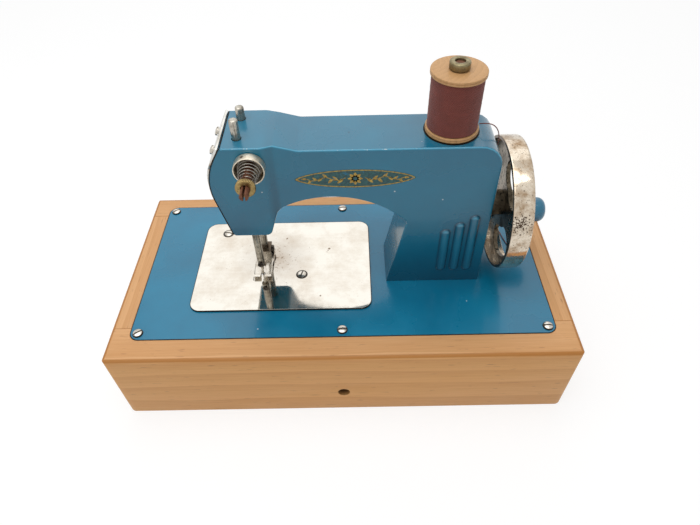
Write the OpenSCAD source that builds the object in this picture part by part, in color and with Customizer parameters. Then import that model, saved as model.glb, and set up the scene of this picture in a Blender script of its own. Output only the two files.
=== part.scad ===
// Toy sewing machine: a sheet-steel arm on a painted bed plate, let into a wooden base.
// X runs along the arm towards the handwheel, Y runs to the back and Z is up.
// The origin is the middle of the base's underside. The needle is at the bottom of its stroke.

/* [Wooden base] */
// Length of the base
base_len = 250; // [244:1:300]
// Depth of the base, front to back
base_dep = 130; // [126:1:170]
// Height of the base
base_h = 51; // [46:1:70]
// Rounding of the upright corners
base_corner_r = 4; // [2:0.5:8]
// Rounding of the top edges
base_edge_r = 2.5; // [1:0.5:4]
// Width of the ledge that carries the bed plate
ledge_w = 8; // [7:0.5:10]
// Bore of the hole through the front rail
rail_hole_d = 6.5; // [3:0.5:8]
// Height of the hole through the front rail
rail_hole_z = 17.4; // [10:0.2:25]

/* [Bed plate] */
// Wood left beyond each end of the bed plate
bed_margin_end = 11.5; // [10:0.5:16]
// Wood left on average in front of and behind the bed plate
bed_margin_side = 12; // [11:0.5:16]
// Thickness of the bed plate
bed_t = 1.2; // [0.8:0.1:2]
// Corner radius of the bed plate
bed_corner_r = 5; // [3:0.5:8]
// How far the bed plate and the machine sit behind the middle of the base
bed_shift = 2; // [0:0.5:4]
// How far the bed plate stands above the wood
bed_proud = 0.2; // [0.1:0.1:0.6]
// Gap between the bed plate and the wood round it
bed_gap = 0.5; // [0.2:0.1:1]
// Diameter of the bed screws' heads
bed_screw_d = 5; // [4:0.2:6]
// Distance from the bed screws to the plate's edge
bed_screw_inset = 4; // [3.5:0.25:4.5]
// Length of the bed window below the needle
window_len = 32; // [28:1:34]
// Depth of the bed window below the needle
window_dep = 44; // [42:1:50]

/* [Stitch plate] */
// Length of the stitch plate
stitch_len = 101; // [96:1:110]
// Depth of the stitch plate
stitch_dep = 70; // [64:1:80]
// Thickness of the stitch plate
stitch_t = 1; // [0.8:0.1:1.6]
// Middle of the stitch plate along the bed
stitch_x = -34.4; // [-38:0.2:-32]
// Corner radius of the stitch plate
stitch_corner_r = 6; // [3:0.5:9]
// Diameter of the stitch plate's screw heads
stitch_screw_d = 6.6; // [5:0.2:8]

/* [Arm] */
// Depth of the arm above the crown of the arch
arm_depth = 27.4; // [26:0.2:36]
// Thickness of the arm, front to back
arm_t = 30; // [29:0.5:36]
// Thickness of the head, front to back
head_t = 33.5; // [33:0.5:40]
// Rise of the head above the arm
head_rise = 3; // [1:0.5:6]
// Thickness of the arm's sheet
sheet_t = 1; // [0.8:0.1:1.4]
// Right side of the pillar
pillar_right = 77.4; // [74:0.2:78]
// Left side of the pillar at the bed
pillar_left = 25.2; // [22:0.2:27]
// Radius of the arm's shoulder above the handwheel
shoulder_r = 11.5; // [8:0.5:14]
// Radius of the arch
arch_r = 50; // [47:1:54]
// Middle of the arch
arch_x = -4; // [-6:0.5:-2]
// Height of the arch's crown above the bed
arch_h = 63.4; // [52:0.2:76]
// Drop of the head's underside below the crown of the arch
head_drop = 23.4; // [22:0.2:25]
// Thickness of the face plate
face_t = 1.2; // [0.8:0.1:1.6]
// Width of the pillar's ribs
rib_w = 5; // [4:0.2:6]
// Pitch of the pillar's ribs
rib_pitch = 7.1; // [6.5:0.1:8]
// Height of the lowest rib above the bed
rib_h = 40; // [36:0.5:46]
// How far the ribs stand out
rib_out = 1.2; // [0.6:0.1:2]

/* [Needle and presser] */
// Place of the needle and presser bars along the bed
bar_x = -46; // [-47:0.2:-45]
// Distance from the arm's middle plane to each bar
bar_off = 8.4; // [8.2:0.1:9]
// Diameter of the needle and presser bars
bar_d = 4.2; // [3.8:0.1:4.6]
// Stroke of the needle bar
needle_stroke = 22; // [18:0.5:22]
// Lift of the presser foot
foot_lift = 4.5; // [3:0.5:5]
// Height of the needle bar's lower end above the bed
needle_bar_low = 8.8; // [8:0.2:11]
// Length of the needle below its bar
needle_len = 25; // [22:0.5:27]
// Height of the needle bar's top above the head, needle down
needle_bar_out = 10; // [8:0.5:14]
// Height of the presser bar's top above the head, foot down
presser_bar_out = 6.5; // [5:0.5:12]
// Width of one toe of the presser foot
toe_w = 3.8; // [3:0.1:4.5]
// Gap between the toes
toe_gap = 2.4; // [1.8:0.1:3]

/* [Thread tension] */
// Place of the tension stud along the arm
tension_x = -40.2; // [-41:0.1:-39.6]
// Depth of the tension stud below the head's top
tension_drop = 9.2; // [8.6:0.2:12]
// Diameter of the tension cup
cup_d = 14.8; // [13:0.1:16]
// Depth of the tension cup
cup_depth = 5.2; // [4:0.1:6]
// Diameter of the tension nut
tension_nut_d = 9.2; // [8:0.1:11]
// Thickness of the tension nut
tension_nut_t = 2.2; // [1.8:0.1:3]
// Length of the tension stud in front of the head
stud_len = 23; // [21:0.2:26]
// Turns of the tension spring
tension_turns = 7; // [4:1:8]
// Wire diameter of the tension spring
tension_wire = 0.8; // [0.5:0.1:0.9]

/* [Spool] */
// Place of the spool along the arm
spool_x = 54.1; // [52:0.1:56]
// Height of the spool
spool_h = 30; // [28:0.5:36]
// Diameter of the spool's flanges
spool_d = 25.2; // [22:0.2:28]
// Thickness of the spool's flanges
flange_t = 2.2; // [1.5:0.1:3]
// Diameter of the spool pin
spool_pin_d = 4.5; // [4:0.1:5]
// Turns in the outer layer of thread
thread_turns = 23; // [12:1:24]
// Diameter of the thread as wound
thread_d = 0.6; // [0.4:0.05:0.65]
// Diameter of the spool nut
spool_nut_d = 9.3; // [8:0.1:11]
// Thickness of the spool nut
spool_nut_t = 3.5; // [2.5:0.1:5]

/* [Handwheel] */
// Diameter of the handwheel
wheel_d = 70.4; // [64:0.2:74]
// Width of the rim
rim_w = 10.3; // [8:0.1:12]
// Thickness of the rim
rim_t = 1.8; // [1.4:0.1:3]
// Gap between the pillar and the rim
wheel_gap = 5.1; // [4.5:0.1:7]
// Height of the wheel's axis above the bed
axis_h = 45.3; // [44.6:0.1:46.2]
// Diameter of the main shaft
shaft_d = 6; // [5:0.2:7]
// Diameter of the hub
hub_d = 13.5; // [12:0.5:18]
// Thickness of the web
web_t = 2.4; // [1.6:0.1:3]
// Inner radius of the web's windows
opening_r0 = 13.5; // [12:0.5:16]
// Outer radius of the web's windows
opening_r1 = 29; // [25:0.5:29.5]
// Angle that one window spans
opening_span = 72; // [60:1:76]
// Distance from the wheel's axis to the crank knob
knob_r = 20.3; // [19:0.1:22]
// Length of the crank knob
knob_len = 26.6; // [20:0.5:30]
// Greatest diameter of the crank knob
knob_d = 14; // [11:0.2:15]

/* [Mechanism] */
// Place of the rocking lever's pivot along the arm
lever_x = 7; // [5:0.5:9]
// Depth of the lever's pivot below the arm's top
lever_drop = 18; // [17:0.5:19]
// Length of the lever from its pivot to the drive rod
lever_rear = 31; // [30:0.5:32]
// Thickness of the lever
lever_t = 2; // [1.5:0.1:2.4]
// Diameter of the drive rod
rod_d = 4; // [3.5:0.1:4.4]
// Depth of the looper shaft below the bed
looper_drop = 19.2; // [18.5:0.1:21]
// Length of the looper shaft's crank
looper_arm = 15; // [14:0.5:17]
// Diameter of the looper shaft
looper_d = 5; // [4:0.2:5.4]
// Length of the feed crank
feed_arm = 4.5; // [4.2:0.1:5]

/* [Fits] */
// Radial clearance of running fits
run_fit = 0.06; // [0.03:0.01:0.1]
// Clearance between seated pieces
seat = 0.05; // [0.02:0.01:0.1]
// Clearance of a stud in its slot
slot_fit = 0.15; // [0.1:0.01:0.2]
// Clearance between moving faces
run_gap = 0.3; // [0.2:0.05:0.5]

/* [Hidden] */
$fn = 48;

enamel = "#2f7f9f";
nickel = "#cfc9bd";
steel = "#9a9a96";
brass = "#a98a4e";
beech = "#d9a673";
maroon = "#6e3436";

// Heights and planes that several pieces share
mid = bed_shift;
bed_len = base_len - 2 * bed_margin_end;
bed_dep = base_dep - 2 * bed_margin_side;
arm_h = arch_h + arm_depth;
head_gap = arch_h - head_drop;
bed_top = base_h + bed_proud;
bed_under = bed_top - bed_t;
stitch_under = bed_top + seat;
stitch_top = stitch_under + stitch_t;
arm_low = bed_top + seat;
arm_top = bed_top + arm_h;
head_top = arm_top + head_rise;
arch_z = bed_top + arch_h - arch_r;
axis_z = bed_top + axis_h;
arm_front = mid - arm_t / 2;
arm_back = mid + arm_t / 2;
head_front = mid - head_t / 2;
needle_y = mid - bar_off;
presser_y = mid + bar_off;

// Rebate and inner faces of the wooden frame
rebate_x = bed_len / 2 + bed_gap;
rebate_y = bed_dep / 2 + bed_gap;
inner_x = rebate_x - ledge_w;
inner_y = rebate_y - ledge_w;
rebate_z = bed_under - seat;

// Screw sizes, as fractions of one millimetre where they are small
wood_screw_r = 1.4;
wood_screw_len = 14;
head_h = 1.4;
slot_w = 0.8;
small_screw_r = 1.2;
small_head_r = 2.2;
post_r = 2.5;

// Head outline: how far the left side leans out, and its corners
cheek_x = -61.5;
cheek_z = head_top - 15.4;
crown_x = -54.1;
chin_x = -56;
chin_z = bed_top + head_gap;
chin_w = 19.9;
crown_end = -29;
crown_low = -18;
head_end = -35.5;
arm_start = -27;
face_gap = 0.3;
face_screw_y = 7.75;

// Bar guides inside the head
guide_t = 4;
guide_left = bar_x - 5.4;
guide_right = bar_x + 7.5;
upper_guide_z = head_top - sheet_t - seat - guide_t;
lower_guide_z = chin_z + sheet_t + seat;
collar_r = 4.5;
collar_h = 7;
collar_stud_r = 1.5;

// Lever drive: half swings that follow from the needle stroke
lever_front = lever_x - bar_x;
lever_z = arm_top - lever_drop;
lever_half = atan(needle_stroke / 2 / lever_front);
rod_half = lever_rear * tan(lever_half);
rod_x = lever_x + lever_rear;
// The throat's corner keeps its room from the drive rod
throat_room = 3.3;
throat_z = arch_z + arch_r * 0.66;
pillar_lean = (rod_x - throat_room - pillar_left) / (throat_z - arm_low);
rod_pin_z = lever_z + rod_half;
lever_pin_r = 2.5;
lever_hub_r = 5.5;
lever_end_r = 4;
collar_z = lever_z - needle_stroke / 2;

// Crank and yoke
crank_pin_r = 2;
crank_disc_r = rod_half + 4;
crank_disc_t = 3;
yoke_t = 2;
yoke_x0 = rod_x - yoke_t / 2;
yoke_x1 = rod_x + yoke_t / 2;
disc_x = yoke_x1 + 2;
yoke_z = axis_z + rod_half;
yoke_half_y = rod_half + 5;
yoke_half_z = 5.5;
// The rod is flat where the crank pin passes it
flat_low = axis_z - rod_half - crank_pin_r - 1;
flat_half = sqrt(rod_d * rod_d - yoke_t * yoke_t) / 2;
fork_half_x = 4;
fork_low = 7;
fork_high = 5.5;
fork_side = 2;

// Inner frame
frame_t = 2;
frame_x = disc_x + crank_disc_t + 3;
frame_top = axis_z + 15;
guide_tab_z = axis_z - 26;
bush_r = shaft_d / 2 + 1.5;
outer_bush_r = shaft_d / 2 + 2;
bush_flange = 1.6;

// Looper and feed below the bed
looper_z = bed_top - looper_drop;
looper_half = atan(rod_half / looper_arm);
rod_foot_z = looper_z + rod_half;
crank_x = rod_x - 5;
crank_t = 2;
crank_pin_d = 3;
feed_half = feed_arm * sin(looper_half);
feed_crank_x = bar_x - 9;
feed_pin_r = 1.2;
feed_z = bed_top - 4.4;
feed_t = 2.4;
feed_row = 4.2;
feed_row_w = 2;
feed_len = 11;
feed_front = needle_y - 3 - feed_half;
hanger_t = 2;
hanger_w = 12;
hanger_foot = 9;
feed_back = 14;
guide_half = 7;
guide_foot = 10;
guide_wall = 1.6;
tongue_w = 4;
tongue_out = 4;

// Handwheel places
rim_x = pillar_right + wheel_gap;
web_x = rim_x + 3.5;
hub_x = pillar_right + bush_flange + seat + run_gap;
hub_end = rim_x + rim_w - 1;
shaft_end = hub_end + 3;
knob_turn = -54;
knob_y = mid + knob_r * cos(knob_turn);
knob_z = axis_z + knob_r * sin(knob_turn);
knob_x = web_x + web_t + run_gap;
knob_pin_r = 2.2;
knob_bore_depth = 0.75 * knob_len;

// Spool places
spool_z = arm_top + run_gap;
spool_top = spool_z + spool_h;
spool_bore_r = spool_pin_d / 2 + run_fit;
barrel_r = 6;
wind_r = spool_d / 2 - 0.8;
wind_steps = 24;
core_r = wind_r * cos(180 / wind_steps) - thread_d / 2 - seat;
wind_low = spool_z + flange_t + thread_d / 2 + 0.25;
wind_high = spool_top - flange_t - thread_d / 2 - 0.25;
spool_nut_z = spool_top + run_gap;

// Tension places
tension_z = head_top - tension_drop;
stud_r = 2.1;
disc_t = 0.5;
cup_back = head_front - seat;
cup_wall = 0.6;
disc_r = cup_d / 2 - cup_wall - 0.4;
disc_back = cup_back - cup_wall - seat;
disc_front = disc_back - 2 * disc_t - seat;
nut_back = head_front - stud_len + 5.5 + tension_nut_t;
tension_coil_r0 = disc_r - 0.7;
tension_coil_r1 = stud_r + 1.2;

// Presser spring
presser_wire = 0.9;
presser_turns = 9;
presser_collar_z = lower_guide_z + guide_t + 6;
presser_coil_r = bar_d / 2 + 1.4;

// Loose end of thread: over the arm's shoulder, down the pillar and along the bed
loose_d = 0.5;
loose_route = [[67, 0.5, 145.7], [69, 0.1, 146], [71.4, 0, 145.8], [73.7, 0.2, 144.6],
  [75.6, 0.6, 142.3], [76.9, 1.2, 139.2], [77.7, 2.1, 135.4], [77.9, 3.4, 131], [77.9, 5, 126],
  [77.9, 6.6, 120], [77.9, 8.4, 114], [77.9, 10.2, 108], [77.9, 11.6, 102], [77.9, 12.6, 96],
  [77.9, 13.2, 90], [77.9, 13.6, 84], [77.9, 13.8, 78], [77.9, 14, 72], [77.9, 14.2, 66],
  [77.9, 14.6, 60], [78.1, 15.2, 55.6], [78.9, 16.6, 52.7], [80.6, 19, 51.7], [83, 23, 51.6],
  [85.4, 28, 51.6], [88, 33, 51.6], [91.2, 36.6, 51.6], [94.6, 36.4, 51.6], [96.6, 32, 51.6],
  [97.8, 26, 51.6], [99, 20, 51.6], [100.4, 14, 51.6], [102, 9, 51.6]];
route_steps = 2;

// Functions for outlines

function unit(v) = v / norm(v);

// Angle from a to b, the short way round
function turn(a, b) = ((b - a) % 360 + 540) % 360 - 180;

// Points of one rounded corner at p, between the points before and after it
function corner(before, p, after, r, n = 8) =
  let (u = unit(before - p), v = unit(after - p), half = acos(u * v) / 2)
  let (c = p + unit(u + v) * r / sin(half), a = p + u * r / tan(half), b = p + v * r / tan(half))
  let (a0 = atan2(a[1] - c[1], a[0] - c[0]), a1 = atan2(b[1] - c[1], b[0] - c[0]))
  [for (i = [0:n]) c + r * [cos(a0 + turn(a0, a1) * i / n), sin(a0 + turn(a0, a1) * i / n)]];

function flat(p) = [p[0], p[1]];

// Closed outline from corners [x, z, radius]
function rounded(list) = let (n = len(list))
  [for (i = [0:n - 1]) each list[i][2] == 0 ? [flat(list[i])]
    : corner(flat(list[(i + n - 1) % n]), flat(list[i]), flat(list[(i + 1) % n]), list[i][2])];

// Outline moved inwards by d, for points in anticlockwise order
function normal_of(a, b) = let (t = unit(b - a)) [-t[1], t[0]];
function inset(list, d) = let (n = len(list))
  [for (i = [0:n - 1])
    let (a = normal_of(list[(i + n - 1) % n], list[i]), b = normal_of(list[i], list[(i + 1) % n]))
    list[i] + d * (a + b) / (1 + a * b)];

// Side view of the arm, with the pillar drawn down by drop and the head's left side out by open
function arm_outline(drop, open) = let (arch = [arch_x, arch_z], foot = arm_low - drop)
  rounded(concat(
    [[pillar_left - drop * pillar_lean, foot, 0], [pillar_right, foot, 0],
     [pillar_right, arm_top, shoulder_r], [crown_low, arm_top, 8], [crown_end, head_top, 8],
     [crown_x - open, head_top, 1.5], [cheek_x - open, cheek_z, 4], [chin_x - open, chin_z, 2.5],
     [chin_x + chin_w, chin_z, 3], [arch_x - arch_r * 0.56, arch_z + arch_r * 0.826, 5]],
    [for (a = [119:-4:47]) [arch_x + arch_r * cos(a), arch_z + arch_r * sin(a), 0]],
    [[rod_x - throat_room, throat_z, 4]]));

// Top view: half the thickness of the arm, less w
function plan_half(w) = [[cheek_x - 20, head_t / 2 - w], [head_end, head_t / 2 - w],
  [arm_start, arm_t / 2 - w], [pillar_right + 20, arm_t / 2 - w]];

// Kidney-shaped window of the web
function kidney(r0, r1, span) = let (rm = (r0 + r1) / 2, rc = (r1 - r0) / 2, a = span / 2 - asin(rc / rm))
  concat([for (i = [0:10]) r1 * [cos(-a + i * a / 5), sin(-a + i * a / 5)]],
    [for (i = [1:7]) rm * [cos(a), sin(a)] + rc * [cos(a + i * 22.5), sin(a + i * 22.5)]],
    [for (i = [0:10]) r0 * [cos(a - i * a / 5), sin(a - i * a / 5)]],
    [for (i = [1:7]) rm * [cos(a), -sin(a)] + rc * [cos(180 - a + i * 22.5), sin(180 - a + i * 22.5)]]);

// Functions for tubes

// Tangent of a path at point i
function along(path, i) = unit(path[min(i + 1, len(path) - 1)] - path[max(i - 1, 0)]);

// One ring of a tube, square to the path, with up as its reference direction
function ring(path, i, r, sides, up) =
  let (t = along(path, i), a = unit(cross(up, t)), b = cross(t, a))
  [for (k = [0:sides - 1]) path[i] + r * (cos(360 * k / sides) * a + sin(360 * k / sides) * b)];

// Path whose ends run straight for one tube diameter
function straight_ends(path, d) = let (n = len(path))
  concat([path[0] - d * unit(path[1] - path[0])], path,
    [path[n - 1] + d * unit(path[n - 1] - path[n - 2])]);

// Least gap between one turn of a coil and the next
function coil_gap(path, per_turn, d) =
  min([for (i = [0:len(path) - per_turn - 1]) norm(path[i + per_turn] - path[i])]) - d;

// Smooth curve through the points of a route
function smooth(p, i, t) = let (n = len(p) - 1)
  let (a = p[max(i - 1, 0)], b = p[i], c = p[min(i + 1, n)], d = p[min(i + 2, n)])
  0.5 * (2 * b + (c - a) * t + (2 * a - 5 * b + 4 * c - d) * t * t + (3 * b - a - 3 * c + d) * t * t * t);
function smooth_path(p, steps) = concat(
  [for (i = [0:len(p) - 2]) for (k = [0:steps - 1]) smooth(p, i, k / steps)], [p[len(p) - 1]]);

// Length of a path
function path_length(p, i = 0) = i >= len(p) - 1 ? 0 : norm(p[i + 1] - p[i]) + path_length(p, i + 1);

// Building blocks

// Tube swept along a path
module tube(path, r, sides, up) {
  n = len(path);
  points = [for (i = [0:n - 1]) each ring(path, i, r, sides, up)];
  walls = [for (i = [0:n - 2]) for (k = [0:sides - 1])
    let (a = i * sides + k, b = i * sides + (k + 1) % sides) each [[a, b + sides, b], [a, a + sides, b + sides]]];
  start = [for (k = [1:sides - 2]) [0, k, k + 1]];
  end = [for (k = [1:sides - 2]) (n - 1) * sides * [1, 1, 1] + [0, k + 1, k]];
  polyhedron(points, concat(walls, start, end));
}

// Box between two corners
module block(a, b) {
  translate(a)
    cube(b - a);
}

// Cylinder along X, Y or Z
module rod_x(y, z, x0, x1, r) {
  translate([x0, y, z])
    rotate([0, 90, 0])
      cylinder(h = x1 - x0, r = r);
}

module rod_y(x, z, y0, y1, r) {
  translate([x, y1, z])
    rotate([90, 0, 0])
      cylinder(h = y1 - y0, r = r);
}

module rod_z(x, y, z0, z1, r) {
  translate([x, y, z0])
    cylinder(h = z1 - z0, r = r);
}

// Rectangle with round corners
module round_rect(len, dep, r) {
  square([len - 2 * r, dep], center = true);
  square([len, dep - 2 * r], center = true);
  for (x = [-1, 1], y = [-1, 1])
    translate([x * (len / 2 - r), y * (dep / 2 - r)])
      circle(r);
}

// Slotted screw with its head's underside at the origin and its shank down
module screw(head_r, shank_r, shank_len, height = head_h) {
  difference() {
    union() {
      intersection() {
        cylinder(h = height, r = head_r);
        translate([0, 0, height - 2.2 * head_r])
          sphere(2.2 * head_r);
      }
      translate([0, 0, -shank_len])
        cylinder(h = shank_len + 0.1, r = shank_r);
    }
    block([-head_r - 1, -slot_w / 2, height * 0.45], [head_r + 1, slot_w / 2, height + 1]);
  }
}

// Region seen from the side, extruded along Y
module side_slab(outline, y0, y1) {
  translate([0, y1, 0])
    rotate([90, 0, 0])
      linear_extrude(y1 - y0)
        polygon(outline);
}

// Region to the right of the head's left side, moved in by s
module right_of_cheek(s) {
  lean_up = (crown_x - cheek_x) / (head_top - cheek_z);
  lean_down = (chin_x - cheek_x) / (cheek_z - chin_z);
  up = s * norm([1, lean_up]);
  down = s * norm([1, lean_down]);
  corner_z = cheek_z + (down - up) / (lean_up + lean_down);
  corner_x = cheek_x + up + lean_up * (corner_z - cheek_z);
  low = corner_z;
  side_slab(rounded([[corner_x + lean_down * low, 0, 0], [200, 0, 0], [200, corner_z + 40, 0],
    [corner_x + lean_up * 40, corner_z + 40, 0], [corner_x, corner_z, 4 - s]]), -60, 60);
}

// Wooden frame

module base_form() {
  intersection() {
    linear_extrude(base_h)
      round_rect(base_len, base_dep, base_corner_r);
    rotate([90, 0, 90])
      translate([0, 0, -base_len / 2])
        linear_extrude(base_len)
          translate([0, base_h / 2])
            top_rounded(base_dep);
    rotate([90, 0, 0])
      translate([0, 0, -base_dep / 2])
        linear_extrude(base_dep)
          translate([0, base_h / 2])
            top_rounded(base_len);
  }
}

// Section of the base, round at its top edges only
module top_rounded(w) {
  r = base_edge_r;
  translate([0, -r / 2])
    square([w, base_h - r], center = true);
  square([w - 2 * r, base_h], center = true);
  for (x = [-1, 1])
    translate([x * (w / 2 - r), base_h / 2 - r])
      circle(r);
}

// Space for the bed plate and the open inside of the frame
module base_hollow() {
  translate([0, mid, rebate_z])
    linear_extrude(base_h)
      round_rect(2 * rebate_x, 2 * rebate_y, bed_corner_r + bed_gap);
  block([-inner_x, mid - inner_y, -1], [inner_x, mid + inner_y, base_h + 1]);
}

function bed_screw_places() = [for (x = [-1, 0, 1], y = [-1, 1])
  [x * (bed_len / 2 - bed_screw_inset), mid + y * (bed_dep / 2 - bed_screw_inset)]];

module bed_screw_holes(r) {
  for (p = bed_screw_places())
    rod_z(p[0], p[1], bed_top - wood_screw_len - 1, bed_top + 5, r);
}

module long_rail(y0, y1) {
  difference() {
    intersection() {
      base_form();
      block([-base_len, y0, -1], [base_len, y1, base_h + 1]);
    }
    base_hollow();
    bed_screw_holes(wood_screw_r + seat);
  }
}

module front_rail() {
  color(beech)
    difference() {
      long_rail(-base_dep, mid - inner_y);
      rod_y(0, rail_hole_z, -base_dep, mid, rail_hole_d / 2);
    }
}

module back_rail() {
  color(beech)
    long_rail(mid + inner_y, base_dep);
}

module end_board(x0, x1) {
  color(beech)
    difference() {
      intersection() {
        base_form();
        block([x0, mid - inner_y + seat, -1], [x1, mid + inner_y - seat, base_h + 1]);
      }
      base_hollow();
      bed_screw_holes(wood_screw_r + seat);
    }
}

module left_end_board() {
  end_board(-base_len, -inner_x);
}

module right_end_board() {
  end_board(inner_x, base_len);
}

// Bed

function frame_screw_places() = [for (x = [frame_x + 8, pillar_right - 8], y = [-8, 8]) [x, mid + y]];

function stitch_screw_places() = [[stitch_x + 10.8, mid - 9.5], [stitch_x - 37.1, mid + 26.2]];

module bed_plate() {
  color(enamel)
    difference() {
      translate([0, mid, bed_under])
        linear_extrude(bed_t)
          round_rect(bed_len, bed_dep, bed_corner_r);
      bed_screw_holes(wood_screw_r + seat);
      block([bar_x - window_len / 2, mid - window_dep / 2, bed_under - 1],
        [bar_x + window_len / 2, mid + window_dep / 2, bed_top + 1]);
      rod_z(rod_x, mid, bed_under - 1, bed_top + 1, rod_d);
      for (p = stitch_screw_places())
        rod_z(p[0], p[1], bed_under - 1, bed_top + 1, small_screw_r + seat);
      for (p = frame_screw_places())
        rod_z(p[0], p[1], bed_under - 1, bed_top + 1, small_screw_r + seat);
    }
}

module bed_screws() {
  color(steel)
    for (p = bed_screw_places())
      translate([p[0], p[1], bed_top + seat])
        rotate([0, 0, 20 + 70 * p[0]])
          screw(bed_screw_d / 2, wood_screw_r, wood_screw_len - 2);
}

module stitch_plate() {
  color(nickel)
    difference() {
      translate([stitch_x, mid, stitch_under])
        linear_extrude(stitch_t)
          round_rect(stitch_len, stitch_dep, stitch_corner_r);
      rod_z(bar_x, needle_y, stitch_under - 1, stitch_top + 1, 1.2);
      for (s = [-1, 1])
        block([bar_x + s * feed_row - feed_row_w / 2 - run_gap, feed_front - run_gap, stitch_under - 1],
          [bar_x + s * feed_row + feed_row_w / 2 + run_gap,
           feed_front + feed_len + 2 * feed_half + run_gap, stitch_top + 1]);
      for (p = stitch_screw_places())
        rod_z(p[0], p[1], stitch_under - 1, stitch_top + 1, small_screw_r + seat);
    }
}

module stitch_screws() {
  color(steel)
    for (i = [0, 1])
      translate([stitch_screw_places()[i][0], stitch_screw_places()[i][1], stitch_top + seat])
        rotate([0, 0, 55 + 80 * i])
          screw(stitch_screw_d / 2, small_screw_r, 5, 0.8);
}

// Arm

module arm_solid(outline, half, back) {
  intersection() {
    side_slab(outline, mid - head_t, mid + head_t);
    translate([0, mid, -50])
      linear_extrude(400)
        polygon(concat([for (p = half) [p[0], -p[1]]],
          [for (i = [len(half) - 1:-1:0]) [half[i][0], half[i][1] + back]]));
  }
}

function rib_places() = [for (i = [0:2]) [pillar_right - 7.9 - rib_pitch * (2 - i), rib_h + 4.7 * i]];

module ribs() {
  r = rib_w / 2;
  for (p = rib_places())
    translate([p[0], arm_front + r - rib_out, bed_top]) {
      translate([0, 0, 9 + r])
        cylinder(h = p[1] - 9 - 2 * r, r = r);
      for (z = [9 + r, p[1] - r])
        translate([0, 0, z])
          sphere(r);
    }
}

function cover_posts() = [[pillar_right - 8.5, arm_top - 11], [pillar_right - 8.5, bed_top + 10],
  [lever_x - 21, arm_top - sheet_t - post_r - 1.2], [chin_x + 3, chin_z + 9]];

// Half thickness of the arm at x, from the head's taper
function half_at(x) = lookup(x, [[head_end, head_t / 2], [arm_start, arm_t / 2]]);

// Face screw places: point on the face plate's outside, its tilt about Y, and its distance from the middle
function face_lean_up() = atan2(crown_x - cheek_x, head_top - cheek_z);
function face_lean_down() = atan2(chin_x - cheek_x, cheek_z - chin_z);
function face_screw_places() = [
  for (s = [-1, 1])
    [crown_x + (cheek_x - crown_x) * 0.42, head_top + (cheek_z - head_top) * 0.42, face_lean_up() - 90,
     s * face_screw_y],
  [cheek_x + (cheek_z - chin_z) * 0.36 * tan(face_lean_down()), chin_z + (cheek_z - chin_z) * 0.64,
   -90 - face_lean_down(), 0]];

// Place something along each face screw, with Z outwards, the plate's outside at zero
// and that distance in $across
module at_face_screws() {
  for (p = face_screw_places()) {
    $across = p[3];
    translate([p[0], mid + p[3], p[1]])
      rotate([0, p[2], 0])
        children();
  }
}

lug_depth = 4;
lug_half = 3;
lug_front = head_front - mid + sheet_t / 2;

module arm_shell() {
  color(enamel)
    difference() {
      union() {
        difference() {
          union() {
            intersection() {
              arm_solid(arm_outline(0, 0), plan_half(0), 0);
              right_of_cheek(face_t + face_gap);
            }
            ribs();
          }
          arm_solid(inset(arm_outline(sheet_t + 1, 8), sheet_t), plan_half(sheet_t), 4);
        }
        for (p = cover_posts())
          rod_y(p[0], p[1], mid - half_at(p[0]) + sheet_t / 2, mid + half_at(p[0]) - sheet_t - 2 * seat, post_r);
        at_face_screws()
          translate([-lug_half, lug_front - $across, -face_t - face_gap - lug_depth])
            cube([2 * lug_half, $across - lug_front + lug_half, lug_depth]);
      }
      for (p = cover_posts())
        rod_y(p[0], p[1], mid, mid + head_t, small_screw_r + seat);
      at_face_screws()
        translate([0, 0, -face_t - face_gap - lug_depth - 1])
          cylinder(h = lug_depth + 2, r = small_screw_r + seat);
      for (y = [needle_y, presser_y])
        rod_z(bar_x, y, chin_z - 2, head_top + 2, bar_d / 2 + run_gap);
      rod_y(tension_x, tension_z, head_front - 2, head_front + sheet_t + 1, stud_r + seat);
      rod_z(spool_x, mid, arm_top - sheet_t - 1, arm_top + 1, spool_pin_d / 2 + seat);
      rod_x(mid, axis_z, pillar_right - sheet_t - 1, pillar_right + 1, outer_bush_r + seat);
    }
}

module rear_cover() {
  color(enamel)
    difference() {
      intersection() {
        side_slab(inset(arm_outline(sheet_t, 0), sheet_t + 0.1), mid, mid + head_t);
        right_of_cheek(face_t + face_gap);
        translate([0, mid, -50])
          linear_extrude(400)
            polygon(concat([for (p = plan_half(sheet_t)) p],
              [for (i = [3:-1:0]) plan_half(0)[i]]));
      }
      for (p = cover_posts())
        rod_y(p[0], p[1], mid, mid + head_t, small_screw_r + seat);
    }
}

module cover_screws() {
  color(steel)
    for (p = cover_posts())
      translate([p[0], mid + half_at(p[0]) + seat, p[1]])
        rotate([-90, 0, 0])
          screw(small_head_r, small_screw_r, 8);
}

module face_plate() {
  color(nickel)
    difference() {
      side_slab(arm_outline(0, 0), head_front, mid + head_t / 2);
      right_of_cheek(face_t);
      at_face_screws()
        translate([0, 0, -face_t - 1])
          cylinder(h = face_t + 2, r = small_screw_r + seat);
    }
}

module face_screws() {
  color(nickel)
    at_face_screws()
      translate([0, 0, seat])
        screw(small_head_r, small_screw_r, face_t + face_gap + lug_depth - 0.5);
}

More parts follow.
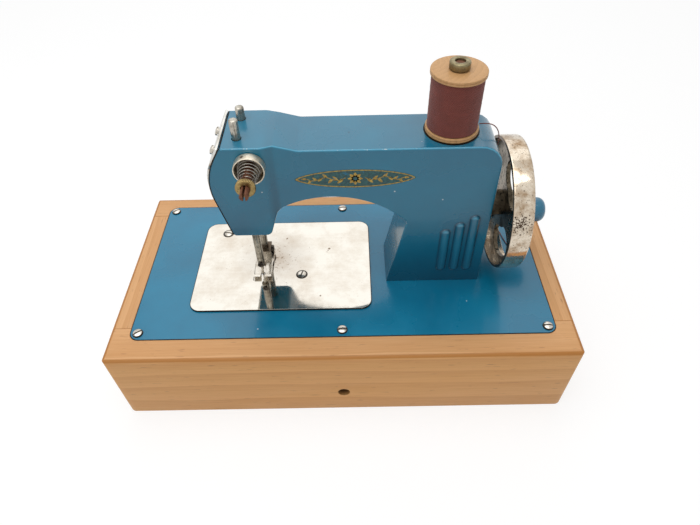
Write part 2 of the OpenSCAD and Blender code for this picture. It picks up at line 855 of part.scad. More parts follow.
module inner_frame() {
  y0 = arm_front + sheet_t + seat;
  y1 = arm_back - sheet_t - 3 * seat;
  color(steel)
    difference() {
      union() {
        block([pillar_left + sheet_t + 1.2, y0, arm_low], [pillar_right - sheet_t - seat, y1, arm_low + frame_t]);
        block([frame_x, y0, arm_low], [frame_x + frame_t, y1, frame_top]);
        block([rod_x - rod_d, mid - rod_d, guide_tab_z], [frame_x + 1, mid + rod_d, guide_tab_z + 3]);
      }
      rod_z(rod_x, mid, bed_top - 1, guide_tab_z + 5, rod_d / 2 + run_fit);
      rod_x(mid, axis_z, frame_x - 1, frame_x + frame_t + 1, bush_r + seat);
      for (p = frame_screw_places())
        rod_z(p[0], p[1], bed_top - 1, arm_low + frame_t + 1, small_screw_r + seat);
      for (i = [0:3])
        rod_y(cover_posts()[i][0], cover_posts()[i][1], mid - head_t, mid + head_t, post_r + run_gap);
    }
}

module frame_screws() {
  color(steel)
    for (p = frame_screw_places())
      translate([p[0], p[1], bed_under - seat])
        rotate([180, 0, 0])
          screw(small_head_r, small_screw_r, bed_t + frame_t + 2);
}

// Needle and presser bars

module bar_guide(z0, left) {
  y0 = head_front + sheet_t + seat;
  y1 = mid + head_t / 2 - sheet_t - 3 * seat;
  color(steel)
    difference() {
      block([left, y0, z0], [guide_right, y1, z0 + guide_t]);
      for (y = [needle_y, presser_y])
        rod_z(bar_x, y, z0 - 1, z0 + guide_t + 1, bar_d / 2 + run_fit);
    }
}

module upper_bar_guide() {
  bar_guide(upper_guide_z, guide_left);
}

module lower_bar_guide() {
  bar_guide(lower_guide_z, chin_x + face_t + 2);
}

needle_end = bed_top + needle_bar_low;
needle_screw_z = needle_end + 2.6;

module needle_bar() {
  color(steel)
    difference() {
      rod_z(bar_x, needle_y, needle_end, head_top + needle_bar_out, bar_d / 2);
      rod_z(bar_x, needle_y, needle_end - 1, needle_end + 8, 0.95 + seat);
      rod_y(bar_x, needle_screw_z, needle_y - bar_d, needle_y, 1 + seat);
    }
}

module needle_collar() {
  color(brass)
    difference() {
      union() {
        rod_z(bar_x, needle_y, collar_z - collar_h / 2, collar_z + collar_h / 2, collar_r);
        rod_y(bar_x, collar_z, needle_y + 3, mid + lever_t / 2 + 1.5, collar_stud_r);
      }
      rod_z(bar_x, needle_y, collar_z - collar_h, collar_z + collar_h, bar_d / 2 + seat);
    }
}

module needle() {
  color(nickel) {
    rod_z(bar_x, needle_y, needle_end - 3, needle_end + 7.5, 0.95);
    rod_z(bar_x, needle_y, needle_end - needle_len + 4, needle_end - 2.9, 0.5);
    translate([bar_x, needle_y, needle_end - needle_len])
      cylinder(h = 4.1, r1 = 0.06, r2 = 0.5);
  }
}

module needle_screw() {
  color(steel)
    translate([bar_x, needle_y - bar_d / 2 - seat, needle_screw_z])
      rotate([90, 90, 0])
        screw(1.7, 1, bar_d / 2 - 1, 1.2);
}

foot_under = stitch_top + seat;
foot_sole_t = 1.4;
foot_block_low = foot_under + foot_sole_t;
foot_block_high = foot_under + 6.4;
foot_block_half = 3.7;
presser_end = foot_block_low + 1;

module presser_bar() {
  color(steel)
    rod_z(bar_x, presser_y, presser_end, head_top + presser_bar_out, bar_d / 2);
}

module presser_collar() {
  color(brass)
    difference() {
      rod_z(bar_x, presser_y, presser_collar_z, presser_collar_z + 5, collar_r - 0.3);
      rod_z(bar_x, presser_y, presser_collar_z - 1, presser_collar_z + 6, bar_d / 2 + seat);
    }
}

presser_coil = let (low = presser_collar_z + 5 + presser_wire / 2 + seat)
  let (high = upper_guide_z - presser_wire / 2 - seat, n = presser_turns * 8)
  [for (i = [0:n]) [bar_x + presser_coil_r * cos(45 * i), presser_y + presser_coil_r * sin(45 * i),
    low + (high - low) * i / n]];

module presser_spring() {
  color(steel)
    tube(straight_ends(presser_coil, presser_wire), presser_wire / 2, 6, [0, 0, 1]);
}

module presser_foot() {
  outer = toe_gap / 2 + toe_w;
  toe_y = needle_y - 4.1;
  heel_y = presser_y + 3.6;
  color(nickel)
    difference() {
      union() {
        translate([bar_x - outer, 0, 0])
          rotate([90, 0, 90])
            linear_extrude(2 * outer)
              polygon([[heel_y, foot_under], [toe_y + 2, foot_under], [toe_y, foot_under + 2.1],
                [toe_y + 0.9, foot_under + 2.9], [toe_y + 2.5, foot_under + foot_sole_t],
                [heel_y, foot_under + foot_sole_t]]);
        block([bar_x - foot_block_half, presser_y - 4.6, foot_block_low - 0.1],
          [bar_x + foot_block_half, heel_y, foot_block_high]);
      }
      block([bar_x - toe_gap / 2, toe_y - 1, foot_under - 1], [bar_x + toe_gap / 2, needle_y + 8, foot_under + 5]);
      rod_z(bar_x, presser_y, presser_end - seat, foot_block_high + 1, bar_d / 2 + seat);
      rod_x(presser_y, foot_block_high - 2.5, bar_x, bar_x + foot_block_half + 1, 1 + seat);
    }
}

module foot_screw() {
  color(steel)
    translate([bar_x + foot_block_half + seat, presser_y, foot_block_high - 2.5])
      rotate([90, 0, 90])
        screw(2.2, 1, foot_block_half - bar_d / 2 - 0.3, 1.6);
}

// Thread tension

module tension_stud() {
  color(steel)
    difference() {
      union() {
        rod_y(tension_x, tension_z, head_front - stud_len, head_front + sheet_t + 1.5, stud_r);
        rod_y(tension_x, tension_z, head_front + sheet_t + seat, head_front + sheet_t + 1.5, stud_r + 0.9);
      }
      block([tension_x - 0.5, head_front - stud_len - 1, tension_z - 3],
        [tension_x + 0.5, head_front - stud_len + 7, tension_z + 3]);
    }
}

module tension_discs() {
  color(nickel)
    for (i = [0, 1])
      difference() {
        rod_y(tension_x, tension_z, disc_back - i * (disc_t + seat) - disc_t, disc_back - i * (disc_t + seat), disc_r);
        rod_y(tension_x, tension_z, head_front - 5, head_front + 5, stud_r + seat);
      }
}

module tension_cup() {
  color(nickel)
    difference() {
      rod_y(tension_x, tension_z, cup_back - cup_depth, cup_back, cup_d / 2);
      rod_y(tension_x, tension_z, cup_back - cup_depth - 1, cup_back - cup_wall, cup_d / 2 - cup_wall);
      rod_y(tension_x, tension_z, cup_back - cup_depth, cup_back + 1, stud_r + seat);
    }
}

tension_coil = let (back = disc_front - tension_wire / 2 - seat)
  let (front = nut_back + tension_wire / 2 + seat, n = tension_turns * 8)
  [for (i = [0:n]) let (r = tension_coil_r0 + (tension_coil_r1 - tension_coil_r0) * i / n)
    [tension_x + r * cos(45 * i), back + (front - back) * i / n, tension_z + r * sin(45 * i)]];

module tension_spring() {
  color(steel)
    tube(straight_ends(tension_coil, tension_wire), tension_wire / 2, 6, [0, 1, 0]);
}

module tension_nut() {
  notch_r = 0.45;
  color(brass)
    difference() {
      rod_y(tension_x, tension_z, nut_back - tension_nut_t, nut_back, tension_nut_d / 2);
      rod_y(tension_x, tension_z, nut_back - tension_nut_t - 1, nut_back + 1, stud_r + run_fit);
      for (a = [0:20:340])
        rod_y(tension_x + tension_nut_d / 2 * cos(a), tension_z + tension_nut_d / 2 * sin(a),
          nut_back - tension_nut_t - 1, nut_back + 1, notch_r);
    }
}

// Spool and thread

module spool_pin() {
  color(brass) {
    rod_z(spool_x, mid, arm_top - sheet_t - 4, spool_nut_z + spool_nut_t - 1, spool_pin_d / 2);
    rod_z(spool_x, mid, arm_top - sheet_t - seat - 2, arm_top - sheet_t - seat, spool_pin_d);
  }
}

module spool() {
  r = spool_d / 2;
  color(beech)
    translate([spool_x, mid, spool_z])
      rotate_extrude()
        polygon([[spool_bore_r, 0], [r - 0.6, 0], [r, 0.6], [r, flange_t - 0.3], [r - 0.3, flange_t],
          [barrel_r, flange_t], [barrel_r, spool_h - flange_t], [r - 0.3, spool_h - flange_t],
          [r, spool_h - flange_t + 0.3], [r, spool_h - 0.6], [r - 0.6, spool_h], [spool_bore_r, spool_h]]);
}

module thread_core() {
  color(maroon)
    difference() {
      rod_z(spool_x, mid, spool_z + flange_t + seat, spool_top - flange_t - seat, core_r);
      rod_z(spool_x, mid, spool_z, spool_top, barrel_r + seat);
    }
}

wind_path = let (n = thread_turns * wind_steps)
  [for (i = [0:n]) [spool_x + wind_r * cos(360 * i / wind_steps + 60), mid + wind_r * sin(360 * i / wind_steps + 60),
    wind_low + (wind_high - wind_low) * i / n]];

module thread_winding() {
  color(maroon)
    tube(straight_ends(wind_path, thread_d), thread_d / 2, 6, [0, 0, 1]);
}

module spool_nut() {
  color(steel)
    difference() {
      rod_z(spool_x, mid, spool_nut_z, spool_nut_z + spool_nut_t, spool_nut_d / 2);
      rod_z(spool_x, mid, spool_nut_z - 1, spool_nut_z + spool_nut_t + 1, spool_bore_r);
    }
}

module loose_thread() {
  color(maroon)
    tube(straight_ends(smooth_path(loose_route, route_steps), loose_d), loose_d / 2, 8, [1, 0.6, 1]);
}

// Handwheel and main shaft

// Something drawn round Z, turned to run along X on the wheel's axis
module on_axis() {
  translate([0, mid, axis_z])
    rotate([90, 0, 90])
      children();
}

module main_shaft() {
  color(steel)
    rod_x(mid, axis_z, disc_x, shaft_end, shaft_d / 2);
}

module crank_disc() {
  color(steel)
    difference() {
      union() {
        rod_x(mid, axis_z, disc_x, disc_x + crank_disc_t, crank_disc_r);
        rod_x(mid, yoke_z, yoke_x1 + run_gap, disc_x + 1, crank_pin_r);
      }
      rod_x(mid, axis_z, disc_x - 1, disc_x + crank_disc_t + 1, shaft_d / 2 + seat);
    }
}

module bush(x0, body, flange_x, r) {
  color(brass)
    difference() {
      union() {
        rod_x(mid, axis_z, x0, x0 + body, r);
        rod_x(mid, axis_z, flange_x, flange_x + bush_flange, r + 2);
      }
      rod_x(mid, axis_z, x0 - body, x0 + 2 * body, shaft_d / 2 + run_fit);
    }
}

module inner_bush() {
  bush(frame_x - seat - bush_flange, bush_flange + frame_t + 3, frame_x - seat - bush_flange, bush_r);
}

module outer_bush() {
  bush(pillar_right - 6, 6 + seat + bush_flange, pillar_right + seat, outer_bush_r);
}

module handwheel() {
  r = wheel_d / 2;
  e = 1.4;
  x1 = rim_x + rim_w;
  color(nickel)
    difference() {
      on_axis()
        union() {
          rotate_extrude($fn = 96)
            polygon([[r - rim_t, rim_x], [r - e, rim_x], [r - 0.4 * e, rim_x + 0.4 * e], [r, rim_x + e],
              [r, x1 - e], [r - 0.4 * e, x1 - 0.4 * e], [r - e, x1], [r - rim_t, x1]]);
          translate([0, 0, web_x])
            cylinder(h = web_t, r = r - rim_t / 2);
          translate([0, 0, hub_x])
            cylinder(h = hub_end - hub_x, r = hub_d / 2);
        }
      on_axis() {
        cylinder(h = 2 * x1, r = shaft_d / 2 + seat);
        for (a = [116:120:356])
          rotate([0, 0, a])
            translate([0, 0, web_x - 1])
              linear_extrude(web_t + 2)
                polygon(kidney(opening_r0, opening_r1, opening_span));
        translate([knob_y - mid, knob_z - axis_z, web_x - 1])
          cylinder(h = web_t + 2, r = knob_pin_r + seat);
        translate([0, 0, hub_x + 3])
          rotate([0, 90, 110])
            cylinder(h = hub_d, r = 1.5 + seat);
      }
    }
}

module hub_screw() {
  color(steel)
    on_axis()
      translate([0, 0, hub_x + 3])
        rotate([0, 90, 110])
          difference() {
            translate([0, 0, shaft_d / 2 + seat])
              cylinder(h = (hub_d - shaft_d) / 2 - 0.4, r = 1.5);
            block([-2, -0.3, hub_d / 2 - 1.4], [2, 0.3, hub_d / 2 + 1]);
          }
}

module knob_pin() {
  color(steel) {
    rod_x(knob_y, knob_z, web_x - 1, knob_x + knob_bore_depth - 0.6, knob_pin_r);
    rod_x(knob_y, knob_z, web_x - seat - 1.4, web_x - seat, knob_pin_r + 1.5);
  }
}

module crank_knob() {
  r = knob_d / 2;
  n = knob_len;
  bore = knob_pin_r + run_fit;
  color(enamel)
    translate([knob_x, knob_y, knob_z])
      rotate([90, 0, 90])
        rotate_extrude()
          polygon(concat([[0, knob_bore_depth], [bore, knob_bore_depth], [bore, 0], [0.7 * r, 0]],
            [for (i = [0:8]) [r * (0.72 + 0.28 * sin(90 * i / 8)), n * (0.04 + 0.68 * i / 8)]],
            [for (i = [1:8]) [r * (0.66 + 0.34 * cos(11.25 * i)), n * (0.72 + 0.2 * sin(11.25 * i))]],
            [for (i = [1:4]) [r * 0.66 * cos(22.5 * i), n * (0.92 + 0.08 * sin(22.5 * i))]]));
}

// Rocking lever and drive rod

// Straight slot seen from the side, from x0 to x1 along the lever
module lever_slot(x0, x1, r) {
  rod_y(x0, 0, -9, 9, r);
  rod_y(x1, 0, -9, 9, r);
  block([x0, -9, -r], [x1, 9, r]);
}

module rocking_lever() {
  tip = lever_front / cos(lever_half) + lever_end_r;
  tail = lever_rear / cos(lever_half) + lever_end_r;
  r = collar_stud_r + slot_fit;
  color(steel)
    translate([lever_x, mid, lever_z])
      rotate([0, -lever_half, 0])
        difference() {
          union() {
            side_slab([[-tip, -3], [-tip + 1, -4], [-lever_hub_r, -4.4], [lever_hub_r, -4.4], [tail - 1, -4],
              [tail, -3], [tail, 3], [tail - 1, 4], [lever_hub_r, 4.4], [-lever_hub_r, 4.4], [-tip + 1, 4],
              [-tip, 3]], -lever_t / 2, lever_t / 2);
            rod_y(0, 0, -lever_t, lever_t, lever_hub_r);
          }
          rod_y(0, 0, -9, 9, lever_pin_r + run_fit);
          lever_slot(-lever_front / cos(lever_half), -lever_front, r);
          lever_slot(lever_rear, lever_rear / cos(lever_half), r);
        }
}

module lever_pin() {
  wall = arm_front + sheet_t + seat;
  color(steel) {
    rod_y(lever_x, lever_z, wall, mid + lever_t + 2, lever_pin_r);
    rod_y(lever_x, lever_z, wall, mid - lever_t - run_gap, lever_pin_r + 1.2);
    rod_y(lever_x, lever_z, wall, wall + 1.5, lever_pin_r + 3.5);
  }
}

module lever_clip() {
  color(steel)
    difference() {
      rod_y(lever_x, lever_z, mid + lever_t + run_gap, mid + lever_t + 1.2, lever_pin_r + 2);
      rod_y(lever_x, lever_z, mid, mid + lever_t + 3, lever_pin_r + seat);
    }
}

module drive_rod() {
  gap = lever_t / 2 + run_gap + 0.1;
  side = gap + fork_side;
  foot_y = mid + looper_arm;
  color(steel)
    difference() {
      union() {
        rod_z(rod_x, mid, rod_foot_z - rod_d / 2, flat_low + 0.5, rod_d / 2);
        block([yoke_x0, mid - flat_half, flat_low], [yoke_x1, mid + flat_half, yoke_z - yoke_half_z + 0.5]);
        block([yoke_x0, mid - yoke_half_y, yoke_z - yoke_half_z], [yoke_x1, mid + yoke_half_y, yoke_z + yoke_half_z]);
        block([yoke_x0, mid - side, yoke_z], [yoke_x1, mid + side, rod_pin_z - fork_low + 1]);
        block([rod_x - fork_half_x, mid - side, rod_pin_z - fork_low],
          [rod_x + fork_half_x, mid + side, rod_pin_z + fork_high]);
        block([rod_x - 1.8, mid, rod_foot_z - 2], [rod_x + 1.8, foot_y + 2, rod_foot_z + 2]);
        rod_x(foot_y, rod_foot_z, crank_x - run_gap, rod_x, crank_pin_d / 2);
      }
      block([yoke_x0 - 1, mid - rod_half, yoke_z - crank_pin_r - slot_fit],
        [yoke_x1 + 1, mid + rod_half, yoke_z + crank_pin_r + slot_fit]);
      for (s = [-1, 1])
        rod_x(mid + s * rod_half, yoke_z, yoke_x0 - 1, yoke_x1 + 1, crank_pin_r + slot_fit);
      difference() {
        block([rod_x - 9, mid - gap, rod_pin_z - fork_low + 1.6], [rod_x + 9, mid + gap, rod_pin_z + 20]);
        rod_y(rod_x, rod_pin_z, mid - 9, mid + 9, collar_stud_r);
      }
    }
}

// Looper, feed and their bearings below the bed

// Drawn with the looper shaft's axis along X at the origin, at the middle of its swing
module on_looper_axis() {
  translate([0, mid, looper_z])
    rotate([looper_half, 0, 0])
      children();
}

module looper_shaft() {
  color(steel)
    rod_x(mid, looper_z, feed_crank_x, crank_x + crank_t + 0.2, looper_d / 2);
}

module looper_crank() {
  far = looper_arm / cos(looper_half);
  r = crank_pin_d / 2 + 2 * slot_fit;
  color(steel)
    on_looper_axis()
      difference() {
        union() {
          rod_x(0, 0, crank_x, crank_x + crank_t, looper_d / 2 + 2.5);
          block([crank_x, 0, -3.5], [crank_x + crank_t, far + 3.5, 3.5]);
        }
        rod_x(0, 0, crank_x - 1, crank_x + crank_t + 1, looper_d / 2 + seat);
        rod_x(looper_arm, 0, crank_x - 1, crank_x + crank_t + 1, r);
        rod_x(far, 0, crank_x - 1, crank_x + crank_t + 1, r);
        block([crank_x - 1, looper_arm, -r], [crank_x + crank_t + 1, far, r]);
      }
}

module looper() {
  x0 = bar_x + 1;
  outer = 14;
  inner = 11.8;
  hook = concat([[3.5, 2], [3, 7]], [for (a = [76:6:142]) outer * [cos(a), sin(a)]], [12.6 * [cos(150), sin(150)]],
    [for (a = [138:-6:108]) inner * [cos(a), sin(a)]], [[-3, 7], [-3.5, 2]]);
  color(nickel)
    on_looper_axis()
      difference() {
        union() {
          translate([x0, 0, 0])
            rotate([90, 0, 90])
              linear_extrude(1.4)
                polygon(hook);
          rod_x(0, 0, x0, x0 + 5, looper_d / 2 + 2);
        }
        rod_x(0, 0, x0 - 1, x0 + 9, looper_d / 2 + seat);
      }
}

module feed_crank() {
  x0 = feed_crank_x;
  color(steel)
    on_looper_axis()
      difference() {
        union() {
          rod_x(0, 0, x0, x0 + 2, looper_d / 2 + 1.6);
          rod_x(0, feed_arm, x0, x0 + 2, feed_pin_r + 1);
          rod_x(0, feed_arm, x0 - 2.6, x0 + 1, feed_pin_r);
        }
        rod_x(0, 0, x0 - 1, x0 + 3, looper_d / 2 + seat);
      }
}

hanger_places = [rod_x - 12, bar_x + window_len / 2 + 2];

module shaft_hangers() {
  low = looper_z - looper_d / 2 - 2.5;
  high = bed_under - seat;
  color(steel)
    for (x = hanger_places)
      difference() {
        union() {
          block([x, mid - hanger_w / 2, low], [x + hanger_t, mid + hanger_w / 2, high]);
          block([x, mid - hanger_w / 2, high - hanger_t], [x + hanger_foot, mid + hanger_w / 2, high]);
        }
        rod_x(mid, looper_z, x - 1, x + hanger_t + 1, looper_d / 2 + run_fit);
      }
}

module feed_dog() {
  x0 = bar_x - feed_row - feed_row_w;
  x1 = bar_x + feed_row + feed_row_w;
  y0 = feed_front - 3;
  y1 = mid + feed_back;
  half = mid + window_dep / 2;
  fork_x = feed_crank_x - 2.4;
  fork_y = mid - feed_half;
  z1 = feed_z + feed_t;
  tooth_top = stitch_top - 0.15;
  teeth = 7;
  color(steel)
    difference() {
      union() {
        difference() {
          block([x0, y0, feed_z], [x1, y1, z1]);
          block([bar_x - 2.4, y0 + 3, feed_z - 1], [bar_x + 2.8, y1 - 3, z1 + 1]);
        }
        for (s = [-1, 1])
          block([bar_x + s * feed_row - feed_row_w / 2, feed_front, feed_z + 1],
            [bar_x + s * feed_row + feed_row_w / 2, feed_front + feed_len, tooth_top]);
        block([bar_x - tongue_w / 2, mid - window_dep / 2 - tongue_out - 2 * feed_half, feed_z],
          [bar_x + tongue_w / 2, y0 + 1, z1]);
        block([bar_x - tongue_w / 2, y1 - 1, feed_z], [bar_x + tongue_w / 2, half + tongue_out, z1]);
        block([fork_x, fork_y - 3.6, feed_z], [x0 + 1, fork_y + 3.6, z1]);
        block([fork_x, fork_y - 3.6, looper_z + looper_d / 2 + 0.7], [fork_x + 1.9, fork_y + 3.6, z1]);
      }
      block([fork_x - 1, fork_y - feed_pin_r - slot_fit, 0],
        [fork_x + 3, fork_y + feed_pin_r + slot_fit, looper_z + feed_arm + feed_pin_r + 0.5]);
      for (s = [-1, 1], i = [1:teeth - 1])
        translate([bar_x + s * feed_row - feed_row_w, feed_front + feed_len * i / teeth, tooth_top])
          rotate([45, 0, 0])
            cube([2 * feed_row_w, 0.6, 0.6]);
    }
}

module feed_guides() {
  high = bed_under - seat;
  low = feed_z - 3;
  color(steel)
    for (s = [-1, 1])
      difference() {
        union() {
          block([bar_x - guide_half, mid + s * (window_dep + guide_wall) / 2 - guide_wall / 2, low],
            [bar_x + guide_half, mid + s * (window_dep + guide_wall) / 2 + guide_wall / 2, high]);
          block([bar_x - guide_half, mid + s * (window_dep + guide_foot) / 2 - guide_foot / 2, high - 1],
            [bar_x + guide_half, mid + s * (window_dep + guide_foot) / 2 + guide_foot / 2, high]);
        }
        block([bar_x - tongue_w / 2 - 0.1, mid - window_dep, feed_z - 0.1],
          [bar_x + tongue_w / 2 + 0.1, mid + window_dep, feed_z + feed_t + 0.1]);
      }
}

echo(thread_gap = coil_gap(wind_path, wind_steps, thread_d));
echo(tension_spring_gap = coil_gap(tension_coil, 8, tension_wire));
echo(presser_spring_gap = coil_gap(presser_coil, 8, presser_wire));
echo(loose_length = path_length(straight_ends(smooth_path(loose_route, route_steps), loose_d)));

front_rail();
back_rail();
left_end_board();
right_end_board();
bed_plate();
bed_screws();
stitch_plate();
stitch_screws();
arm_shell();
rear_cover();
cover_screws();
face_plate();
face_screws();
inner_frame();
frame_screws();
upper_bar_guide();
lower_bar_guide();
needle_bar();
needle_collar();
needle();
needle_screw();
presser_bar();
presser_collar();
presser_spring();
presser_foot();
foot_screw();
tension_stud();
tension_discs();
tension_cup();
tension_spring();
tension_nut();
spool_pin();
spool();
thread_core();
thread_winding();
spool_nut();
loose_thread();
main_shaft();
crank_disc();
inner_bush();
outer_bush();
handwheel();
hub_screw();
knob_pin();
crank_knob();
rocking_lever();
lever_pin();
lever_clip();
drive_rod();
looper_shaft();
looper_crank();
looper();
feed_crank();
shaft_hangers();
feed_dog();
feed_guides();
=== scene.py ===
"""A toy hand-cranked sewing machine on a wooden box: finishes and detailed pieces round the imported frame."""
import logging
import math
from dataclasses import dataclass, replace
from enum import Enum
from functools import partial
from typing import Callable, Optional, Sequence, Union

import bmesh
import bpy
import numpy as np
from mathutils import Matrix, Vector


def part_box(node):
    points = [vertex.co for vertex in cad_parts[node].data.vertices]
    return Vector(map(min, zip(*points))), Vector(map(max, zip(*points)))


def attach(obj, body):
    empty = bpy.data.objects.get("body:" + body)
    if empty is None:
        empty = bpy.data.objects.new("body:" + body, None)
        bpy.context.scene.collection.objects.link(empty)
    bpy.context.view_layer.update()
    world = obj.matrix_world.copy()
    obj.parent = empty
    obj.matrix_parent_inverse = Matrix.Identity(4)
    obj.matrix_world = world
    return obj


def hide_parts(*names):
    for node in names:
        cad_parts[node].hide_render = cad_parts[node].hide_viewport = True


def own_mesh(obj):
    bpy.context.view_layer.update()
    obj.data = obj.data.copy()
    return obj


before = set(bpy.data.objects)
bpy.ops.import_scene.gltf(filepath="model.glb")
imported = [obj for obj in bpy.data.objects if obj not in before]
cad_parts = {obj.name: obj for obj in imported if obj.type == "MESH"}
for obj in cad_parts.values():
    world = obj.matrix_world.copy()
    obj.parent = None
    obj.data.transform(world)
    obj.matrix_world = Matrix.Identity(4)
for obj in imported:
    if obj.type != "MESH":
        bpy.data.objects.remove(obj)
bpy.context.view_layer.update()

LOG = logging.getLogger("sewing_machine")
MM = 0.001
MID = 2.0
BED_TOP = 51.2
STITCH_TOP = 52.2
FULL_TURN = 2 * math.pi
QUARTER_TURN = math.pi / 2
SHARP = 35.0

Pair = tuple[float, float]
Triple = tuple[float, float, float]
Level = Union[float, np.ndarray]
Obj = bpy.types.Object
Mesh = bpy.types.Mesh
Node = bpy.types.Node
Socket = bpy.types.NodeSocket
Value = Union[float, str, Sequence[float], Socket, Node]
Maker = Callable[..., Node]


class Axis(Enum):
    """A main axis of the frame."""

    X = 0
    Y = 1
    Z = 2


# Nodes


def linear(code: str) -> tuple[float, float, float, float]:
    """Turns an sRGB hex colour to linear.

    Args:
        code: The colour as #rrggbb.

    Returns:
        Linear red, green and blue, and an alpha of 1.
    """
    part = np.array([int(code[i:i + 2], 16) for i in (1, 3, 5)]) / 255
    low, high = part / 12.92, ((part + 0.055) / 1.055) ** 2.4
    return (*np.where(part <= 0.04045, low, high).tolist(), 1.0)


def per(size: float) -> float:
    """Gives a noise texture's scale for features of this size in millimetres."""
    return 1 / (size * MM)


def add(tree: bpy.types.NodeTree, kind: str, sockets: Union[dict, Sequence] = (), **settings: object) -> Node:
    """Adds a node with its settings and links.

    Args:
        tree: The node tree.
        kind: The node's type, without its ShaderNode prefix.
        sockets: A value, a hex colour, or the socket or node that feeds it, for each input by name or number, or
            for the first inputs in order. A node feeds from the first output that its settings leave in use.
        settings: The node's own properties. stops gives a colour ramp's places and hex colours or grey levels.

    Returns:
        The new node.
    """
    node = tree.nodes.new("ShaderNode" + kind)
    stops = settings.pop("stops", ())
    for key, value in settings.items():
        setattr(node, key, value)
    for i, (place, colour) in enumerate(stops):
        element = node.color_ramp.elements[i] if i < 2 else node.color_ramp.elements.new(place)
        element.position = place
        element.color = linear(colour) if isinstance(colour, str) else (colour, colour, colour, 1.0)
    for key, value in sockets.items() if isinstance(sockets, dict) else enumerate(sockets):
        if isinstance(value, Node):
            value = next(out for out in value.outputs if out.enabled)
        if isinstance(value, Socket):
            tree.links.new(value, node.inputs[key])
        else:
            node.inputs[key].default_value = linear(value) if isinstance(value, str) else value
    return node


def maker(owner: Union[bpy.types.Material, bpy.types.World]) -> Maker:
    """Empties a node tree.

    Args:
        owner: The material or the world that has the tree.

    Returns:
        The function that adds nodes to it.
    """
    owner.use_nodes = True
    owner.node_tree.nodes.clear()
    return partial(add, owner.node_tree)


# Lines and surfaces as whole arrays, in millimetres


def smoothstep(x: np.ndarray) -> np.ndarray:
    """Eases from 0 to 1 as x goes from 0 to 1: 3x squared less 2x cubed, held flat outside."""
    x = np.clip(x, 0, 1)
    return x * x * (3 - 2 * x)


def circle(count: int) -> np.ndarray:
    """Gives angles spread evenly round a circle, in radians."""
    return np.arange(count) * FULL_TURN / count


def around(axis: Axis, centre: Pair, radius: Level, angle: Level, along: Level) -> np.ndarray:
    """Gives points round an axis.

    Args:
        axis: The axis.
        centre: Its two other coordinates, in the order X, Y, Z.
        radius: Distance from the axis.
        angle: Angle round the axis, in radians.
        along: Place along the axis.

    Returns:
        The points, in the shape that the three last inputs share.
    """
    parts = [centre[0] + radius * np.cos(angle), centre[1] + radius * np.sin(angle)]
    parts.insert(axis.value, along)
    return np.stack(np.broadcast_arrays(*parts), -1)


def at_depth(line: np.ndarray, y: Level) -> np.ndarray:
    """Sets a line of X and Z at one depth, or at one for each point."""
    return np.insert(line, 1, y, axis=1)


def units(rows: np.ndarray) -> np.ndarray:
    """Shortens each row to a length of 1."""
    return rows / np.linalg.norm(rows, axis=1)[:, None]


def corner_curves(start: np.ndarray, corner: np.ndarray, stop: np.ndarray, weight: Level, steps: int) -> np.ndarray:
    """Draws a rational parabola past each corner.

    Args:
        start: Where each curve starts.
        corner: The corners.
        stop: Where each curve stops.
        weight: Pull of the corner: 1 for a plain parabola, the cosine of half the turn for an arc.
        steps: Points on each curve.

    Returns:
        The points, corner by corner.
    """
    t = np.linspace(0, 1, steps)[None, :, None]
    near, pull, far = (1 - t) ** 2, 2 * weight * t * (1 - t), t ** 2
    curve = (near * start[:, None] + pull * corner[:, None] + far * stop[:, None]) / (near + pull + far)
    return curve.reshape(-1, corner.shape[1])


def eased(corners: Sequence[Sequence[float]], reach: Union[float, Sequence[float]], closed: bool = True,
          steps: int = 5) -> np.ndarray:
    """Eases the corners of a line: each becomes a parabola that leaves the line at the reach from the corner.

    Args:
        corners: Points in any number of dimensions.
        reach: Distance from the corner at which the curve starts, one number or one for each corner.
        closed: Whether the last point joins the first.
        steps: Points on each curve.

    Returns:
        The eased line's points.
    """
    p = np.asarray(corners, float)
    back, ahead = np.roll(p, 1, 0) - p, np.roll(p, -1, 0) - p
    back_len, ahead_len = np.linalg.norm(back, axis=1), np.linalg.norm(ahead, axis=1)
    cut = np.minimum(np.broadcast_to(reach, len(p)), 0.49 * np.minimum(back_len, ahead_len))
    if not closed:
        cut[[0, -1]] = 0
    a = p + back * (cut / np.maximum(back_len, 1e-9))[:, None]
    b = p + ahead * (cut / np.maximum(ahead_len, 1e-9))[:, None]
    return corner_curves(a, p, b, 1.0, steps)


def round_corners(corners: np.ndarray, steps: int) -> np.ndarray:
    """Rounds a closed outline: each corner becomes an arc of its own radius.

    Args:
        corners: Rows of two coordinates and a radius.
        steps: Points on each arc.

    Returns:
        The outline's points, without repeats.
    """
    p, r = corners[:, :2], corners[:, 2]
    back, ahead = units(np.roll(p, 1, 0) - p), units(np.roll(p, -1, 0) - p)
    turn = math.pi - np.arccos(np.clip((back * ahead).sum(1), -1, 1))
    cut = (r * np.tan(turn / 2))[:, None]
    line = corner_curves(p + back * cut, p, p + ahead * cut, np.cos(turn / 2)[:, None, None], steps)
    return line[np.linalg.norm(line - np.roll(line, 1, 0), axis=1) > 1e-4]


def collar(bore: float, radius: float, ends: Pair, reach: Sequence[float]) -> np.ndarray:
    """Gives a collar's closed profile: its bore, its outside and its two faces, with the four corners eased."""
    return eased([(bore, ends[0]), (radius, ends[0]), (radius, ends[1]), (bore, ends[1])], reach)


def grid_faces(rows: int, cols: int, wrap_rows: bool, wrap_cols: bool) -> np.ndarray:
    """Lists the quads of a grid of points, row by row.

    Args:
        rows: Rows of points.
        cols: Points in a row.
        wrap_rows: Whether the last row joins the first.
        wrap_cols: Whether a row's last point joins its first.

    Returns:
        Four point numbers for each face.
    """
    i = np.arange(rows if wrap_rows else rows - 1)[:, None]
    j = np.arange(cols if wrap_cols else cols - 1)[None, :]
    i2, j2 = (i + 1) % rows, (j + 1) % cols
    return np.stack([i * cols + j, i * cols + j2, i2 * cols + j2, i2 * cols + j], -1).reshape(-1, 4)


# Meshes


